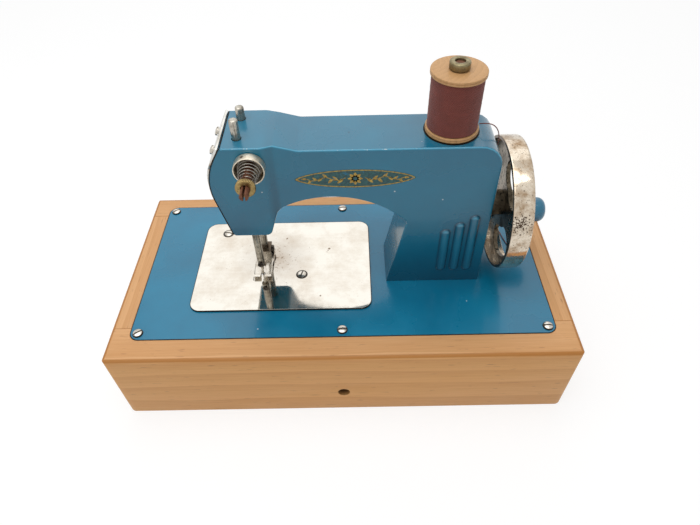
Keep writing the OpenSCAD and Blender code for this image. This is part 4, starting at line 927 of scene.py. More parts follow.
@dataclass
class Studio:
    """A white table under a broad soft light, seen from above and in front."""

    place: Triple = (7.067, -217.609, 285.010)
    yaw: float = -0.662
    pitch: float = 46.76
    roll: float = 1.579
    lens: float = 27.67
    sensor: float = 36.0
    aim: Triple = (0.0, 0.0, 0.08)
    room_level: float = 0.42
    lamps: tuple[tuple[str, Triple, float, float], ...] = (
        ("overhead_softbox", (-0.15, -0.1, 0.95), 0.9, 4.8),
        ("rear_softbox", (0.0, 0.95, 0.95), 1.3, 2.6),
        ("front_fill", (-0.45, -0.85, 0.45), 0.7, 0.5))
    floor_half: float = 2500.0
    floor_z: float = -0.05
    floor_white: str = "#e8e8e8"
    floor_seen: str = "#989898"
    floor_glow: float = 0.74

    def camera(self) -> None:
        """Sets the camera from its place and its three angles: yaw from +Y, pitch downwards, then roll."""
        yaw, pitch, roll = np.radians([self.yaw, self.pitch, self.roll])
        ahead = np.array([math.sin(yaw) * math.cos(pitch), math.cos(yaw) * math.cos(pitch), -math.sin(pitch)])
        right = np.array([math.cos(yaw), -math.sin(yaw), 0.0])
        down = np.cross(ahead, right)
        across = math.cos(roll) * right + math.sin(roll) * down
        up = math.sin(roll) * right - math.cos(roll) * down
        data = bpy.data.cameras.new("view")
        data.sensor_width = self.sensor
        data.sensor_fit = "HORIZONTAL"
        data.lens = self.lens
        data.clip_start = 0.01
        turn = np.eye(4)
        turn[:3] = np.stack([across, up, -ahead, np.array(self.place) * MM], 1)
        eye = placed("view", data)
        eye.matrix_world = Matrix(turn.tolist())
        bpy.context.scene.camera = eye

    def lamp(self, name: str, place: Triple, size: float, watts: float) -> None:
        """Hangs a square soft light that faces the middle of the machine.

        Args:
            name: The light's name.
            place: Where it hangs, in metres.
            size: Its side, in metres.
            watts: Its power.
        """
        data = bpy.data.lights.new(name, "AREA")
        data.size = size
        data.energy = watts
        lamp = placed(name, data)
        lamp.location = place
        lamp.rotation_euler = (Vector(self.aim) - Vector(place)).to_track_quat("-Z", "Y").to_euler()

    @staticmethod
    def seen(new: Maker) -> Node:
        """Gives 1 for rays from the eye, from a mirror or through glass, and 0 for rays that only light things.

        Args:
            new: Adds a node to the world or the floor.

        Returns:
            The node with that number.
        """
        rays = new("LightPath").outputs
        two = new("Math", [rays["Is Camera Ray"], rays["Is Glossy Ray"]], operation="MAXIMUM")
        return new("Math", [two, rays["Is Transmission Ray"]], operation="MAXIMUM")

    def build(self) -> None:
        """Makes the white room, the pale floor that keeps a shadow, and the lamps."""
        bpy.context.scene.view_settings.view_transform = "Standard"
        world = bpy.data.worlds.new("white_room")
        bpy.context.scene.world = world
        new = maker(world)
        level = new("MapRange", [self.seen(new), 0.0, 1.0, self.room_level, 1.0])
        sky = new("Background", {"Color": "#ffffff", "Strength": level})
        new("OutputWorld", {"Surface": sky})
        corners = np.array([(-1, -1, 0), (1, -1, 0), (1, 1, 0), (-1, 1, 0)]) * self.floor_half + (0, 0, self.floor_z)
        floor = solid("floor", corners, [[0, 1, 2, 3]], turn_out=False)
        paper = bpy.data.materials.new("white_paper_floor")
        new = maker(paper)
        seen = self.seen(new)
        tone = new("Mix", {0: seen, 6: self.floor_white, 7: self.floor_seen}, data_type="RGBA")
        matt = new("BsdfDiffuse", {"Color": tone})
        glow = new("Math", [seen, self.floor_glow], operation="MULTIPLY")
        light = new("Emission", {"Color": "#ffffff", "Strength": glow})
        new("OutputMaterial", {"Surface": new("AddShader", [matt, light])})
        floor.data.materials.append(paper)
        for lamp in self.lamps:
            self.lamp(*lamp)


# The machine


@dataclass
class LooseThread:
    """The thread's free end: from the spool over the shoulder, down the pillar's side and on to the bed."""

    diameter: float = 0.5
    route: tuple[Triple, ...] = (
        (67, 0.5, 145.7), (69, 0.1, 146), (71.4, 0, 145.8), (73.7, 0.2, 144.6), (75.6, 0.6, 142.3), (76.9, 1.2, 139.2),
        (77.7, 2.1, 135.4), (77.9, 3.4, 131), (77.9, 5, 126), (77.9, 6.6, 120), (77.9, 8.4, 114), (77.9, 10.2, 108),
        (77.9, 11.6, 102), (77.9, 12.6, 96), (77.9, 13.2, 90), (77.9, 13.6, 84), (77.9, 13.8, 78), (77.9, 14, 72),
        (77.9, 14.2, 66), (77.9, 14.6, 60), (78.1, 15.2, 55.6), (78.9, 16.6, 52.7), (80.6, 19, 51.7), (83, 23, 51.6),
        (85.4, 28, 51.6), (88, 33, 51.6), (91.2, 36.6, 51.6), (94.6, 36.4, 51.6), (96.6, 32, 51.6), (97.8, 26, 51.6),
        (99, 20, 51.6), (100.4, 14, 51.6), (102, 9, 51.6))
    steps: int = 5

    def path(self) -> np.ndarray:
        """Runs a smooth curve through the route: between two points, a cubic that leaves each along the line
        between its neighbours. Both ends run on straight for one diameter.

        Returns:
            The curve's points, in millimetres.
        """
        p = np.array(self.route)
        p = np.vstack([2 * p[0] - p[1], p, 2 * p[-1] - p[-2]])
        a, b, c, d = (p[i:len(p) - 3 + i, None] for i in range(4))
        t = (np.arange(self.steps) / self.steps)[None, :, None]
        curve = 0.5 * (2 * b + (c - a) * t + (2 * a - 5 * b + 4 * c - d) * t ** 2 + (3 * b - a - 3 * c + d) * t ** 3)
        line = np.vstack([curve.reshape(-1, 3), self.route[-1]])
        ends = line[[0, -1]] + self.diameter * units(line[[0, -1]] - line[[1, -2]])
        return np.vstack([ends[0], line, ends[1]])

    def build(self) -> None:
        path = self.path()
        piece = tube("loose_thread_end", path, self.diameter / 2, 10, (1.0, 0.6, 1.0))
        dress(piece, THREAD, node="loose_thread")


@dataclass
class WoodenBase:
    """The open box of four boards."""

    ease: float = 0.3

    def build(self) -> None:
        """Dresses the rails with the grain along the machine and the end boards with the grain across it."""
        for node, wood in (("front_rail", RAIL_WOOD), ("back_rail", RAIL_WOOD), ("left_end_board", END_WOOD),
                           ("right_end_board", END_WOOD)):
            softened(node, self.ease, wood)


@dataclass
class Bed:
    """The painted bed plate, the plated stitch plate and their screws."""

    plate_ease: float = 0.3
    stitch_ease: float = 0.22
    screw_ease: float = 0.18
    bed_screw_r: float = 2.5
    bed_slots: Triple = (-60.0, -15.0, 52.0)
    stitch_screw_r: float = 3.3
    stitch_slots: Pair = (20.0, 35.0)
    dark_ring_out: Pair = (0.35, 0.1)
    dark_ring_in: float = 0.5
    dark_ring_z: Pair = (0.005, 0.05)

    def screws(self, node: str, places: np.ndarray, slots: Sequence[float], finish: Finish, radius: float,
               floor: float, spread: float) -> None:
        """Dresses slotted screws: each is turned about its own middle, and a flat dark ring lies round it.

        Args:
            node: The node that holds the screws.
            places: The screws' middles.
            slots: How far each screw is turned from the node's, in degrees.
            finish: The screws' finish.
            radius: Radius of their heads.
            floor: Height of the plate that they stand on.
            spread: How far the dark ring reaches out past the heads.
        """
        mesh = softened(node, self.screw_ease, finish).data
        place = coordinates(mesh) / MM
        nearest = np.linalg.norm(place[:, None, :2] - places[None], axis=2).argmin(1)
        turn = np.radians(slots)[nearest]
        x, y = (place[:, :2] - places[nearest]).T
        place[:, :2] = places[nearest] + np.c_[x * np.cos(turn) - y * np.sin(turn), x * np.sin(turn) + y * np.cos(turn)]
        mesh.vertices.foreach_set("co", (place * MM).ravel().astype(np.float32))
        angle = circle(40)
        inner, outer = radius - self.dark_ring_in, radius + spread
        low, high = (floor + z for z in self.dark_ring_z)
        ring = np.vstack([around(Axis.Z, (0.0, 0.0), r, angle, z)
                          for r, z in ((inner, high), (outer, high), (outer, low), (inner, low))])
        points = np.pad(places, ((0, 0), (0, 1)))[:, None] + ring
        faces = np.arange(len(places))[:, None, None] * len(ring) + grid_faces(4, len(angle), True, True)
        dress(solid(node + "_grime", points, faces.reshape(-1, 4)), SEAM_DIRT_AND_SHADOW)

    @staticmethod
    def grime(name: str, centre: Pair, half: Pair, corner: float, heights: Pair, spread: float) -> None:
        """Runs a thin line of painted shadow round a plate: a four-sided section carried round its rounded outline.

        Args:
            name: The piece's name.
            centre: The plate's middle.
            half: Half the plate's length and depth.
            corner: The plate's corner radius.
            heights: Low and high edge of the dark line.
            spread: How far it reaches out.
        """
        low, high = heights
        rows = []
        for off, z in ((0.0, high), (spread, high - 0.03), (spread, low), (0.0, low)):
            x, y, r = half[0] + off, half[1] + off, corner + off
            line = round_corners(np.array([(-x, -y, r), (x, -y, r), (x, y, r), (-x, y, r)]), 9)
            rows.append(np.c_[line + centre, np.full(len(line), z)])
        dress(band(name, rows), SEAM_DIRT_AND_SHADOW)

    def build(self) -> None:
        """Dresses the two plates and the screws, with painted shadow lines in the seams round both plates."""
        softened("bed_plate", self.plate_ease, ENAMEL)
        softened("stitch_plate", self.stitch_ease, PLATE)
        self.grime("stitch_plate_grime", (-34.4, MID), (50.5, 35.0), 6.0, (51.205, 52.18), 0.32)
        self.grime("bed_edge_grime", (0.0, MID), (113.5, 53.0), 5.0, (50.1, 51.08), 0.4)
        (left, front, _), (right, back, _) = (np.array(v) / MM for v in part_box("bed_screws"))
        r = self.bed_screw_r
        places = np.array([(x, y) for x in (left + r, (left + right) / 2, right - r) for y in (front + r, back - r)])
        self.screws("bed_screws", places, np.repeat(self.bed_slots, 2), BED_SCREW, r, BED_TOP, self.dark_ring_out[0])
        (left, front, _), (right, back, _) = (np.array(v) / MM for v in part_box("stitch_screws"))
        r = self.stitch_screw_r
        places = np.array([(right - r, front + r), (left + r, back - r)])
        self.screws("stitch_screws", places, self.stitch_slots, STITCH_SCREW, r, STITCH_TOP, self.dark_ring_out[1])


@dataclass
class Arm:
    """The pressed shell with its arch, pillar and ribs, the cover, the face plate and the printed ornament."""

    half: float = 15.0
    head_half: float = 16.75
    taper: Pair = (-35.2, -28.4)
    edge_r: float = 0.95
    edge_least: float = 0.12
    edge_under: float = 0.65
    sheet: float = 1.0
    rim_back: float = 1.05
    foot_z: float = 51.25
    arm_z: float = 142.0
    head_z: float = 145.0
    arch: Triple = (-4.0, 64.6, 50.0)
    crown_x: float = -53.3
    cheek: Pair = (-63.3, 127.5)
    cheek_r: float = 32.0
    chin: Pair = (-55.2, 91.2)
    face_out: Triple = (1.4, 0.4, 0.3)
    face_reach: float = 12.5
    screw_out: float = 1.0
    seam_r: float = 0.32
    edge_highlight_share: float = 0.66
    taper_shade_share: float = 0.38
    face_t: float = 1.2
    face_hide: float = 1.8
    bars: tuple[Pair, ...] = ((-46.0, -6.4), (-46.0, 10.4))
    bar_hole_r: float = 2.4
    ribs: tuple[Pair, ...] = ((55.3, 91.2), (62.4, 95.9), (69.5, 100.6))
    rib_low: float = 60.2
    rib_half: float = 2.5
    rib_out: float = 1.2
    rib_sheet: float = 0.5
    sprig: Pair = (8.3, 125.7)
    sprig_half: Pair = (29.0, 5.4)

    def outline(self) -> np.ndarray:
        """Draws the side view: straight sides with rounded corners, and the arch as part of a circle.

        Returns:
            Rows of X and Z, anticlockwise.
        """
        angle = np.radians(np.arange(119, 46, -2))
        x, z, r = self.arch
        arch = np.c_[x + r * np.cos(angle), z + r * np.sin(angle), 0 * angle]
        first = [(25.2, self.foot_z, 0), (77.4, self.foot_z, 0), (77.4, self.arm_z, 11.5), (-18, self.arm_z, 8),
                 (-29, self.head_z, 8), (self.crown_x, self.head_z, 1.2), (*self.cheek, self.cheek_r),
                 (*self.chin, 2.0), (-35.7, self.chin[1], 3.4), (-31, 105.9, 5)]
        return round_corners(np.vstack([first, arch, [(34.7, 97.6, 4)]]), 7)

    def half_at(self, x: np.ndarray) -> np.ndarray:
        """Gives half the arm's thickness at each X, easing from the head's to the arm's."""
        share = smoothstep((x - self.taper[0]) / (self.taper[1] - self.taper[0]))
        return self.head_half + (self.half - self.head_half) * share

    def shell(self) -> None:
        """Makes the shell: the outline drawn in by an edge radius that grows in a quarter circle, then carried to
        the back rim, with the head made thicker by a smooth step and the two bars' holes cut."""
        line = self.outline()
        ahead = units(np.roll(line, -1, 0) - line)
        normal = np.c_[-ahead[:, 1], ahead[:, 0]]
        miter = normal + np.roll(normal, 1, 0)
        miter /= np.maximum((miter ** 2).sum(1) / 2, 0.3)[:, None]
        free = smoothstep((line[:, 0] + 59) / 8) * smoothstep((line[:, 1] - self.foot_z) / 4)
        rise = -units(miter)[:, 1]
        under = 1 - self.edge_under * np.clip(-rise, 0, 1)
        ease = self.edge_least + (self.edge_r - self.edge_least) * free * under
        phi = np.linspace(0, QUARTER_TURN, 7)[:, None]
        inset, depth = ease * (1 - np.sin(phi)), ease * (1 - np.cos(phi))
        flat = line[None] + miter[None] * inset[..., None]
        rounded = np.stack([flat[..., 0], MID - self.half + depth, flat[..., 1]], -1)
        points = np.concatenate([rounded, at_depth(line, MID + self.half - self.rim_back)[None]])
        edge = np.vstack([np.sin(2 * phi) * free, np.zeros(len(line))])
        # Painted highlight: a pale line along the front's rounded edges where they face upwards.
        polish = self.edge_highlight_share * edge ** 4 * smoothstep(rise / 0.6)
        quads = grid_faces(len(points), len(line), False, True)[:, ::-1]
        obj = solid("arm_shell_piece", points, [np.arange(len(line)), *quads],
                    marks={"edge": edge, "polish": polish}, turn_out=False)
        shape = bmesh.new()
        shape.from_mesh(obj.data)
        for x in np.linspace(self.taper[0] - 0.2, self.taper[1] + 0.2, 13):
            bmesh.ops.bisect_plane(shape, geom=[*shape.verts, *shape.edges, *shape.faces], dist=1e-7,
                                   plane_co=(x * MM, 0, 0), plane_no=(1, 0, 0))
        shape.to_mesh(obj.data)
        shape.free()
        place = coordinates(obj.data)
        place[:, 1] = MID * MM + (place[:, 1] - MID * MM) * self.half_at(place[:, 0] / MM) / self.half
        obj.data.vertices.foreach_set("co", place.ravel())
        x, y, z = place.T / MM
        # Painted shade: the front face darkens across the taper from head to arm, more towards the bottom.
        taper_shade = smoothstep((x - self.taper[0]) / 4.0) * smoothstep((self.taper[1] + 0.3 - x) / 2.0)
        taper_shade = self.taper_shade_share * taper_shade * (y < MID - self.half + 3) * (1 - 0.5 * smoothstep((z - 105) / 35))
        mark(obj.data, "crease", taper_shade)
        thicken(obj, self.sheet)
        drill = self.drill()
        holes = obj.modifiers.new("bar_holes", "BOOLEAN")
        holes.object = drill
        holes.operation = "DIFFERENCE"
        holes.solver = "EXACT"
        graph = bpy.context.evaluated_depsgraph_get()
        made = bpy.data.meshes.new_from_object(obj.evaluated_get(graph), preserve_all_data_layers=True, depsgraph=graph)
        obj.modifiers.clear()
        obj.data = made
        bpy.data.objects.remove(drill)
        shade(made, 40)
        obj.modifiers.new("flat_faces", "WEIGHTED_NORMAL").keep_sharp = True
        dress(obj, ARM_ENAMEL)

    def seam(self) -> None:
        """Lays a bead of old dirt in the seam between the shell and the face plate: a thin tube along the head's top
        left edge and down its front."""
        line = self.outline()
        edge = line[(line[:, 0] < self.crown_x + 0.6) & (line[:, 1] > self.chin[1] + 0.8)]
        edge = edge[np.argsort(-edge[:, 1])] + (0.12, -0.05)
        front, back = MID - self.head_half, MID + self.head_half
        x, z = edge[0] + (-0.1, 0.12)
        top = [(x, back - 2.0, z), (x, front + 0.4, z)]
        path = eased(np.vstack([top, at_depth(edge[1:], front + 0.05)]), 0.3, closed=False, steps=3)
        path = path[np.concatenate([[True], np.linalg.norm(np.diff(path, axis=0), axis=1) > 0.02])]
        dress(tube("head_seam_grime", path, self.seam_r, 8, (1.0, 0.0, 0.2)), SEAM_DIRT_AND_SHADOW)

    def drill(self) -> Obj:
        """Makes the two round cutters for the bars, from below the head to above it.

        Returns:
            Both cutters as one object.
        """
        sides = 40
        ring = around(Axis.Z, (0.0, 0.0), self.bar_hole_r, circle(sides), np.array([[80.0], [160.0]])).reshape(-1, 3)
        points = np.pad(self.bars, ((0, 0), (0, 1)))[:, None] + ring
        ends = np.arange(len(ring)).reshape(2, sides)
        faces = [face + len(ring) * i for i in range(len(self.bars))
                 for face in (*grid_faces(2, sides, False, True), *ends)]
        return solid("bar_drill", points, faces)

    def rib(self, number: int, x: float, high: float) -> None:
        """Raises one rib: the face rises as a rounded power of the distance from the rib's middle line, painted shade
        darkens its foot as a bell curve of the same distance, and a painted highlight lies along its crest and top end.

        Args:
            number: The rib's number, from the left.
            x: Its middle line.
            high: Its top.
        """
        reach = self.rib_half + 1.1
        low, top = self.rib_low + self.rib_half, high - self.rib_half
        u = np.linspace(-reach, reach, 49)[None, :]
        v = np.concatenate([np.linspace(low - reach, low, 25)[:-1], np.linspace(low, top, 9)[:-1],
                            np.linspace(top, top + reach, 25)])[:, None]
        off = np.hypot(u, v - np.clip(v, low, top))
        rise = self.rib_out * (1 - np.clip(off / self.rib_half, 0, 1) ** 2.4) ** 0.7
        y = MID - self.half - 0.015 - rise
        # Painted shade round the rib's foot, and a painted highlight on its crest and top end.
        crease = 0.85 * np.exp(-((off - self.rib_half) / np.where(off < self.rib_half, 0.8, 0.5)) ** 2)
        cap = np.exp(-((off - 1.1) / 0.8) ** 2) * smoothstep((v - top) / 1.5)
        polish = np.maximum(0.5 * cap, 0.1 * (1 - np.clip(off / 1.6, 0, 1)))
        points = np.stack(np.broadcast_arrays(x + u, y, v), -1)
        obj = solid("pillar_rib_%d" % number, points, grid_faces(len(v), u.size, False, False), turn_out=False,
                    smooth=70, marks={"crease": crease, "polish": polish})
        thicken(obj, self.rib_sheet)
        dress(obj, ARM_ENAMEL)

    def face(self) -> None:
        """Bends the face plate: a strip along the head's left side, eased at the cheek, full width above it and
        drawn in behind the shell's edge below it."""
        crown, cheek, chin = self.face_out
        corners = [(self.crown_x - crown, self.head_z), (self.cheek[0] - cheek, self.cheek[1]),
                   (self.chin[0] - chin, self.chin[1] + 0.2)]
        line = eased(corners, [0, self.face_reach, 0], closed=False, steps=21)
        inner = line + (self.face_t, 0)
        front = MID - self.head_half + self.face_hide * smoothstep((138.5 - line[:, 1]) / 7)
        back = MID + self.head_half - 0.1
        rows = [at_depth(at, y) for at, y in ((line, front), (line, back), (inner, back), (inner, front))]
        ends = np.arange(4) * len(line) + np.array([[0], [len(line) - 1]])
        obj = solid("face_plate_piece", np.vstack(rows), [*grid_faces(4, len(line), True, False), *ends], smooth=30)
        ease_edges(obj, 0.2, 50)
        dress(obj, CHROME)

    @staticmethod
    def leaf(root: Pair, angle: float, length: float, width: float) -> np.ndarray:
        """Draws a leaf: a closed line whose width is a sine of its place along the length, fuller near the root.

        Args:
            root: Where the leaf starts.
            angle: Its direction, in radians from +X towards +Z.
            length: Its length.
            width: Its width.

        Returns:
            Rows of X and Z.
        """
        t = circle(24)
        along = length * (1 - np.cos(t)) / 2
        across = 0.5 * width * np.sin(t) * (1 + 0.35 * np.cos(t))
        turn = np.array([[math.cos(angle), math.sin(angle)], [-math.sin(angle), math.cos(angle)]])
        return np.asarray(root) + np.c_[along, across] @ turn

    def ornament(self) -> None:
        """Lays a generic printed ornament on the arm: a pointed oval with a gilt border, a rosette of eight petals
        and a leafy sprig to each side, whose stem is a slow sine."""
        cx, cz = self.sprig
        t = circle(96)

        def oval(inset: float) -> np.ndarray:
            """Draws the pointed oval: an ellipse whose height is drawn in towards its two ends."""
            return np.c_[cx + (self.sprig_half[0] - 2.2 * inset) * np.cos(t),
                         cz + (self.sprig_half[1] - inset) * np.sin(t) * np.abs(np.sin(t)) ** 0.35]

        def wave(at: Level) -> Level:
            """Gives the stem's height at a distance from the middle."""
            return cz + 0.9 * np.sin(at * 0.55)

        front = MID - self.half
        motifs = [self.leaf((cx, cz), FULL_TURN * k / 8, 3.6, 1.9) for k in range(8)]
        for side in (-1, 1):
            s = np.linspace(4.6, 23.5, 30)
            stem = np.c_[cx + side * s, wave(s)]
            motifs.append(np.vstack([stem + (0, 0.18), stem[::-1] - (0, 0.18)]))
            leaves = [(6.0 + 2.5 * k, (0.75 if k % 2 else -0.75) + 0.1 * math.sin(6.0 + 2.5 * k), 3.5 - 0.22 * k,
                       1.5 - 0.07 * k) for k in range(7)]
            for at, lean, length, width in (*leaves, (23.3, 0.0, 2.4, 1.1)):
                aim = lean if side > 0 else math.pi - lean
                motifs.append(self.leaf((cx + side * at, wave(at)), aim, length, width))
        outer, inner = oval(0.25), oval(0.75)
        rows = [at_depth(o, front - out) for o, out in ((outer, 0.05), (inner, 0.05), (inner, 0.02), (outer, 0.02))]
        heart = np.c_[cx + 1.05 * np.cos(t[::4]), cz + 1.05 * np.sin(t[::4])]
        dress(flat_plates("ornament_ground", [oval(0.0)], front - 0.03, 0.05), GROUND)
        dress(band("ornament_border", rows, 30), GILT)
        dress(flat_plates("ornament_sprigs", motifs, front - 0.055, 0.03), GILT)
        dress(flat_plates("ornament_eye", [heart], front - 0.07, 0.03), GROUND)

    def build(self) -> None:
        """Makes the shell, ribs and ornament, and dresses the cover, the face plate and their screws."""
        self.shell()
        for i, (x, high) in enumerate(self.ribs):
            self.rib(i + 1, x, high)
        self.ornament()
        self.seam()
        softened("rear_cover", 0.5, ARM_ENAMEL)
        softened("cover_screws", 0.18, NICKEL)
        self.face()
        softened("face_screws", 0.15, NICKEL, shift=-self.screw_out)


@dataclass
class Bars:
    """The needle bar with its needle, and the presser bar with its foot and spring."""

    needle_at: Pair = (-46.0, -6.4)
    presser_at: Pair = (-46.0, 10.4)
    bar_r: float = 2.1
    wire: float = 0.9
    turns: int = 9
    travel: float = 4.5

    def bar(self, name: str, centre: Pair, low: float, high: float, body: str) -> None:
        """Turns a bar with a rounded top and a small chamfer below."""
        profile = eased([(0, low), (self.bar_r, low), (self.bar_r, high), (0, high)], [0, 0.5, 1.1, 0], closed=False)
        dress(turned(name, profile, Axis.Z, centre, ring=False), BAR_STEEL, body)

    def build(self) -> None:
        """Makes the bars, the needle and the spring, and dresses the foot and the screws."""
        self.bar("needle_bar_piece", self.needle_at, 60.0, 155.0, "needle_group")
        self.bar("presser_bar_piece", self.presser_at, 54.7, 151.5, "presser_group")
        needle = eased([(0, 35), (0.5, 39), (0.5, 56.4), (0.95, 57.2), (0.95, 62), (0, 62)],
                       [0, 0.8, 0.3, 0.3, 0.1, 0], closed=False)
        dress(turned("needle_piece", needle, Axis.Z, self.needle_at, 24, ring=False), NICKEL, "needle_group")
        softened("needle_screw", 0.12, BLACKED, "needle_group")
        softened("presser_foot", 0.22, FOOT, "presser_group")
        softened("foot_screw", 0.12, BLACKED, "presser_group")
        (left, _, low), (right, _, high) = (np.array(v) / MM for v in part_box("presser_spring"))
        radius = (right - left - self.wire) / 2
        coil = spring("presser_spring_piece", Axis.Z, self.presser_at, (radius, radius),
                      (low + self.wire / 2, high - self.wire / 2), self.turns, self.wire, 0.06, 10, 36)
        dress(coil, OILED_STEEL)
        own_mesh(coil)


@dataclass
class Tension:
    """The thread tension: a cup with its discs, a conical spring, a notched nut and a slotted stud."""

    centre: Pair = (-40.2, 135.8)
    cup_r: float = 7.4
    cup_wall: float = 0.7
    cup: Pair = (-14.8, -20.0)
    bore: float = 2.2
    spring_r: Pair = (5.7, 2.68)
    spring_y: Pair = (-16.95, -29.6)
    turns: int = 8
    wire: float = 0.66
    nut_r: float = 4.6
    nut: Pair = (-30.05, -32.25)

    def build(self) -> None:
        """Turns the cup and the nut, winds the spring on a cone, and dresses the discs and the stud."""
        back, front = self.cup
        inner, floor = self.cup_r - self.cup_wall, back - self.cup_wall
        cup = eased([(self.bore, back), (self.cup_r, back), (self.cup_r, front), (inner, front), (inner, floor),
                     (self.bore, floor)], [0.1, 1.2, 0.34, 0.34, 0.8, 0.1])
        dress(turned("tension_cup_piece", cup, Axis.Y, self.centre, 72), CUP)
        dress(spring("tension_spring_piece", Axis.Y, self.centre, self.spring_r, self.spring_y, self.turns, self.wire,
                     0.07, 12, 48), SPRING_STEEL)
        nut = collar(self.bore, self.nut_r, self.nut, [0.1, 0.35, 0.35, 0.2])
        dress(turned("tension_nut_piece", nut, Axis.Y, self.centre, 180, notches=36, notch=0.22), BRASS,
              "tension_knob")
        softened("tension_stud", 0.12, RUST)
        softened("tension_discs", 0.12, GRIMY)


@dataclass
class Spool:
    """A wooden spool full of thread, on a pin with a nut."""

    centre: Pair = (54.1, MID)
    low: float = 142.3
    high: float = 172.3
    flange_r: float = 12.6
    flange: float = 2.2
    groove: Pair = (0.3, 0.18)
    foot: Pair = (142.02, 142.06)
    foot_r: Pair = (10.0, 13.25)
    barrel_r: float = 6.0
    bore: float = 2.4
    core_r: float = 11.55
    wind_r: float = 11.68
    turns: int = 62
    thread: float = 0.42
    nut: Pair = (172.6, 176.1)
    nut_r: float = 4.65
    nut_bore: float = 2.31

    def build(self) -> None:
        """Turns the wood, the core and the nut, and winds the thread as a close helix with small slow waves."""
        low, high = self.low + self.flange, self.high - self.flange
        deep, wide = self.groove
        r = self.flange_r
        lower, upper = ([(r, z - wide), (r - deep, z), (r, z + wide)]
                        for z in (self.low + self.flange / 2, self.high - self.flange / 2))
        wood = eased([(self.bore, self.low), (r, self.low), *lower, (r, low), (self.barrel_r, low),
                      (self.barrel_r, high), (r, high), *upper, (r, self.high), (self.bore, self.high)],
                     [0.3, 0.6, 0.1, 0.05, 0.1, 0.6, 0.2, 0.2, 0.6, 0.1, 0.05, 0.1, 0.6, 0.4])
        dress(turned("spool_wood", wood, Axis.Z, self.centre, 96), SPOOL_WOOD, "spool_group", "spool")
        start, near, far = self.barrel_r + 0.02, low + 0.05, high - 0.05
        core = np.array([(start, near), (self.core_r, near), (self.core_r, far), (start, far)])
        dress(turned("thread_core_piece", core, Axis.Z, self.centre, 72), THREAD, "spool_group")
        turn = np.linspace(0, FULL_TURN * self.turns, self.turns * 40 + 1) + math.radians(60)
        share = np.linspace(0, 1, len(turn))
        first, last = low + self.thread / 2 + 0.06, high - self.thread / 2 - 0.06
        z = first + (last - first) * share + 0.03 * np.sin(turn * 0.37) * np.sin(math.pi * share)
        radius = self.wind_r + 0.03 * np.sin(turn * 0.113) + 0.02 * np.sin(turn * 0.71)
        line = around(Axis.Z, self.centre, radius, turn, z)
        dress(tube("thread_winding_piece", line, self.thread / 2, 8, (0.0, 0.0, 1.0)), THREAD, "spool_group")
        nut = collar(self.nut_bore, self.nut_r, self.nut, [0.1, 0.4, 0.8, 0.4])
        dress(turned("spool_nut_piece", nut, Axis.Z, self.centre), DULL_NUT, "spool_cap")
        softened("spool_pin", 0.3, RUST)
        # Painted shadow: a thin dark ring on the arm's top round the spool's foot.
        near, far = self.foot_r
        foot = np.array([(near, self.foot[0]), (far, self.foot[0]), (far, self.foot[1]), (near, self.foot[1])])
        dress(turned("spool_foot_grime", foot, Axis.Z, self.centre, 72), SEAM_DIRT_AND_SHADOW)


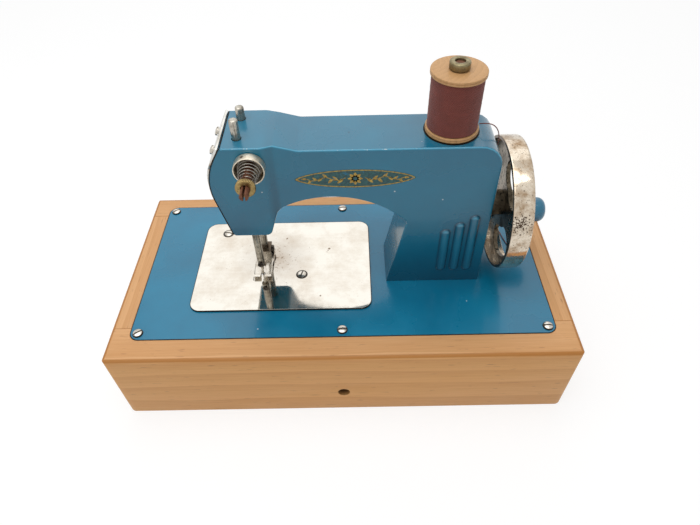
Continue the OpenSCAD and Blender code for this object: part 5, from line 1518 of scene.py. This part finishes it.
@dataclass
class Handwheel:
    """The plated wheel with three bean-shaped windows, its shaft, and the turning knob."""

    axis: Pair = (MID, 96.5)
    rim_r: float = 35.2
    rim_t: float = 1.8
    rim_fall: Pair = (0.15, 2.4)
    rim: Pair = (82.5, 92.8)
    web: Pair = (86.0, 88.4)
    web_ease: float = 0.45
    hub: Pair = (79.35, 91.8)
    hub_r: float = 6.75
    bore: float = 3.05
    mid_r: float = 21.25
    bean_half: float = 7.75
    bean_end: float = 14.6
    beans: Triple = (116.0, 236.0, 356.0)
    overlap: float = 0.6
    knob_axis: Pair = (13.93, 80.08)
    knob: Pair = (88.7, 115.3)
    knob_r: float = 7.0
    knob_bend: float = 0.85
    pin_bore: float = 2.3
    pin_depth: float = 22.0

    def bean_edges(self) -> tuple[np.ndarray, np.ndarray, np.ndarray]:
        """Works out the windows' inner and outer edges round the wheel: two arcs with a half circle at each end,
        where a line from the wheel's middle meets the half circle at the root of a quadratic.

        Returns:
            Angles round the wheel, the inner edge's radius and the outer edge's radius; between windows both meet.
        """
        far = math.degrees(math.asin(self.bean_half / self.mid_r))
        tip = self.bean_end + far
        bow = self.bean_end + far * np.sin(np.linspace(0, QUARTER_TURN, 19))
        side = np.concatenate([np.linspace(0, self.bean_end, 12)[:-1], bow, np.linspace(tip, 60, 10)[1:]])
        one = np.concatenate([-side[:0:-1], side[:-1]])
        past = np.radians(np.clip(np.abs(one) - self.bean_end, 0, far))
        root = np.sqrt(np.maximum(self.bean_half ** 2 - (self.mid_r * np.sin(past)) ** 2, 0))
        spoke = np.abs(one) > tip - 1e-6
        meet = self.mid_r * math.cos(math.radians(far))
        inner = np.where(spoke, meet + self.overlap, self.mid_r * np.cos(past) - root)
        outer = np.where(spoke, meet - self.overlap, self.mid_r * np.cos(past) + root)
        angle = np.concatenate([np.radians(one + b) for b in self.beans])
        return angle, np.tile(inner, 3), np.tile(outer, 3)

    def ring_plate(self, name: str, angle: np.ndarray, inside: Level, outside: Level, thin: float) -> None:
        """Makes a flat ring between two radii that vary round the wheel, as a closed band of four sides.

        Args:
            name: The piece's name.
            angle: Angles round the wheel.
            inside: Inner radius at each angle.
            outside: Outer radius at each angle.
            thin: How much thinner than the web each face is.
        """
        x0, x1 = self.web[0] + thin, self.web[1] - thin
        obj = band(name, [around(Axis.X, self.axis, radius, angle, x)
                          for radius, x in ((inside, x0), (outside, x0), (outside, x1), (inside, x1))], 40)
        ease_edges(obj, self.web_ease, 60)
        dress(obj, GRIMY, "drive")

    def crank_knob(self) -> None:
        """Turns the knob: its radius swells as a sine and closes as a quarter circle, round the bore for its pin."""
        start, stop = self.knob
        end = 1 - self.knob_bend
        t = np.concatenate([np.linspace(0, self.knob_bend, 26)[:-1],
                            self.knob_bend + end * np.sin(np.linspace(0, QUARTER_TURN, 14))])
        swell = np.clip((t - 0.04) / 0.76, 0, 1)
        bend = np.clip((t - self.knob_bend) / end, 0, 1)
        radius = self.knob_r * (0.72 + 0.28 * np.sin(swell * QUARTER_TURN)) * (0.5 + 0.5 * np.sqrt(1 - bend ** 2))
        hollow = [(0, start + self.pin_depth), (self.pin_bore, start + self.pin_depth), (self.pin_bore, start)]
        outside = np.c_[radius, start + (stop - start) * t][1:]
        profile = np.vstack([hollow, (radius[0] - 0.4, start), outside, (0, stop)])
        dress(turned("crank_knob_piece", profile, Axis.X, self.knob_axis, 72, ring=False), KNOB_PAINT, "knob")

    def build(self) -> None:
        """Turns the rim, the hub and the knob, and makes the web from two rings round the windows."""
        inner = self.rim_r - self.rim_t
        fall, reach = self.rim_fall
        start, stop = self.rim
        rim = eased([(inner, start), (self.rim_r - fall, start), (self.rim_r, start + reach),
                     (self.rim_r, stop - reach), (self.rim_r - fall, stop), (inner, stop)],
                    [0.4, 1.1, 2.0, 2.0, 1.1, 0.4], steps=7)
        dress(turned("handwheel_rim", rim, Axis.X, self.axis, 160), RIM, "drive", "handwheel")
        hub = collar(self.bore, self.hub_r, self.hub, [0.2, 0.6, 0.9, 0.4])
        dress(turned("handwheel_hub", hub, Axis.X, self.axis, 72), GRIMY, "drive")
        angle, bean_in, bean_out = self.bean_edges()
        self.ring_plate("handwheel_web_inner", angle, self.hub_r - self.overlap, bean_in, 0.0)
        self.ring_plate("handwheel_web_outer", angle, bean_out, inner + 0.5, 0.03)
        for node, bevel, finish in (("main_shaft", 0.3, BAR_STEEL), ("hub_screw", 0.12, NICKEL),
                                    ("knob_pin", 0.15, NICKEL)):
            softened(node, bevel, finish, "drive")
        self.crank_knob()


@dataclass
class InnerWorks:
    """What the arm and the box hide: the frame, guides, lever, rod, looper and feed, seen only from below."""

    steel: tuple[str, ...] = ("inner_frame", "frame_screws", "crank_disc", "rocking_lever", "lever_pin", "lever_clip",
                              "drive_rod", "looper_shaft", "looper_crank", "feed_crank", "shaft_hangers",
                              "feed_guides", "upper_bar_guide", "lower_bar_guide", "presser_collar")
    brass: tuple[str, ...] = ("needle_collar", "inner_bush", "outer_bush")
    bright: tuple[str, ...] = ("looper", "feed_dog")

    def build(self) -> None:
        """Gives these nodes oiled steel, brass and plated finishes."""
        paint(OILED_STEEL, *self.steel)
        paint(BRASS, *self.brass)
        paint(NICKEL, *self.bright)


def main() -> None:
    """Builds the stage and the machine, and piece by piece."""
    logging.basicConfig(level=logging.INFO, format="%(message)s")
    studio = Studio()
    studio.camera()
    LooseThread().build()
    for part in (studio, WoodenBase(), Bed(), Arm(), Bars(), Tension(), Spool(), Handwheel(), InnerWorks()):
        part.build()
        LOG.info("%s done", type(part).__name__)


if __name__ == "__main__":
    main()
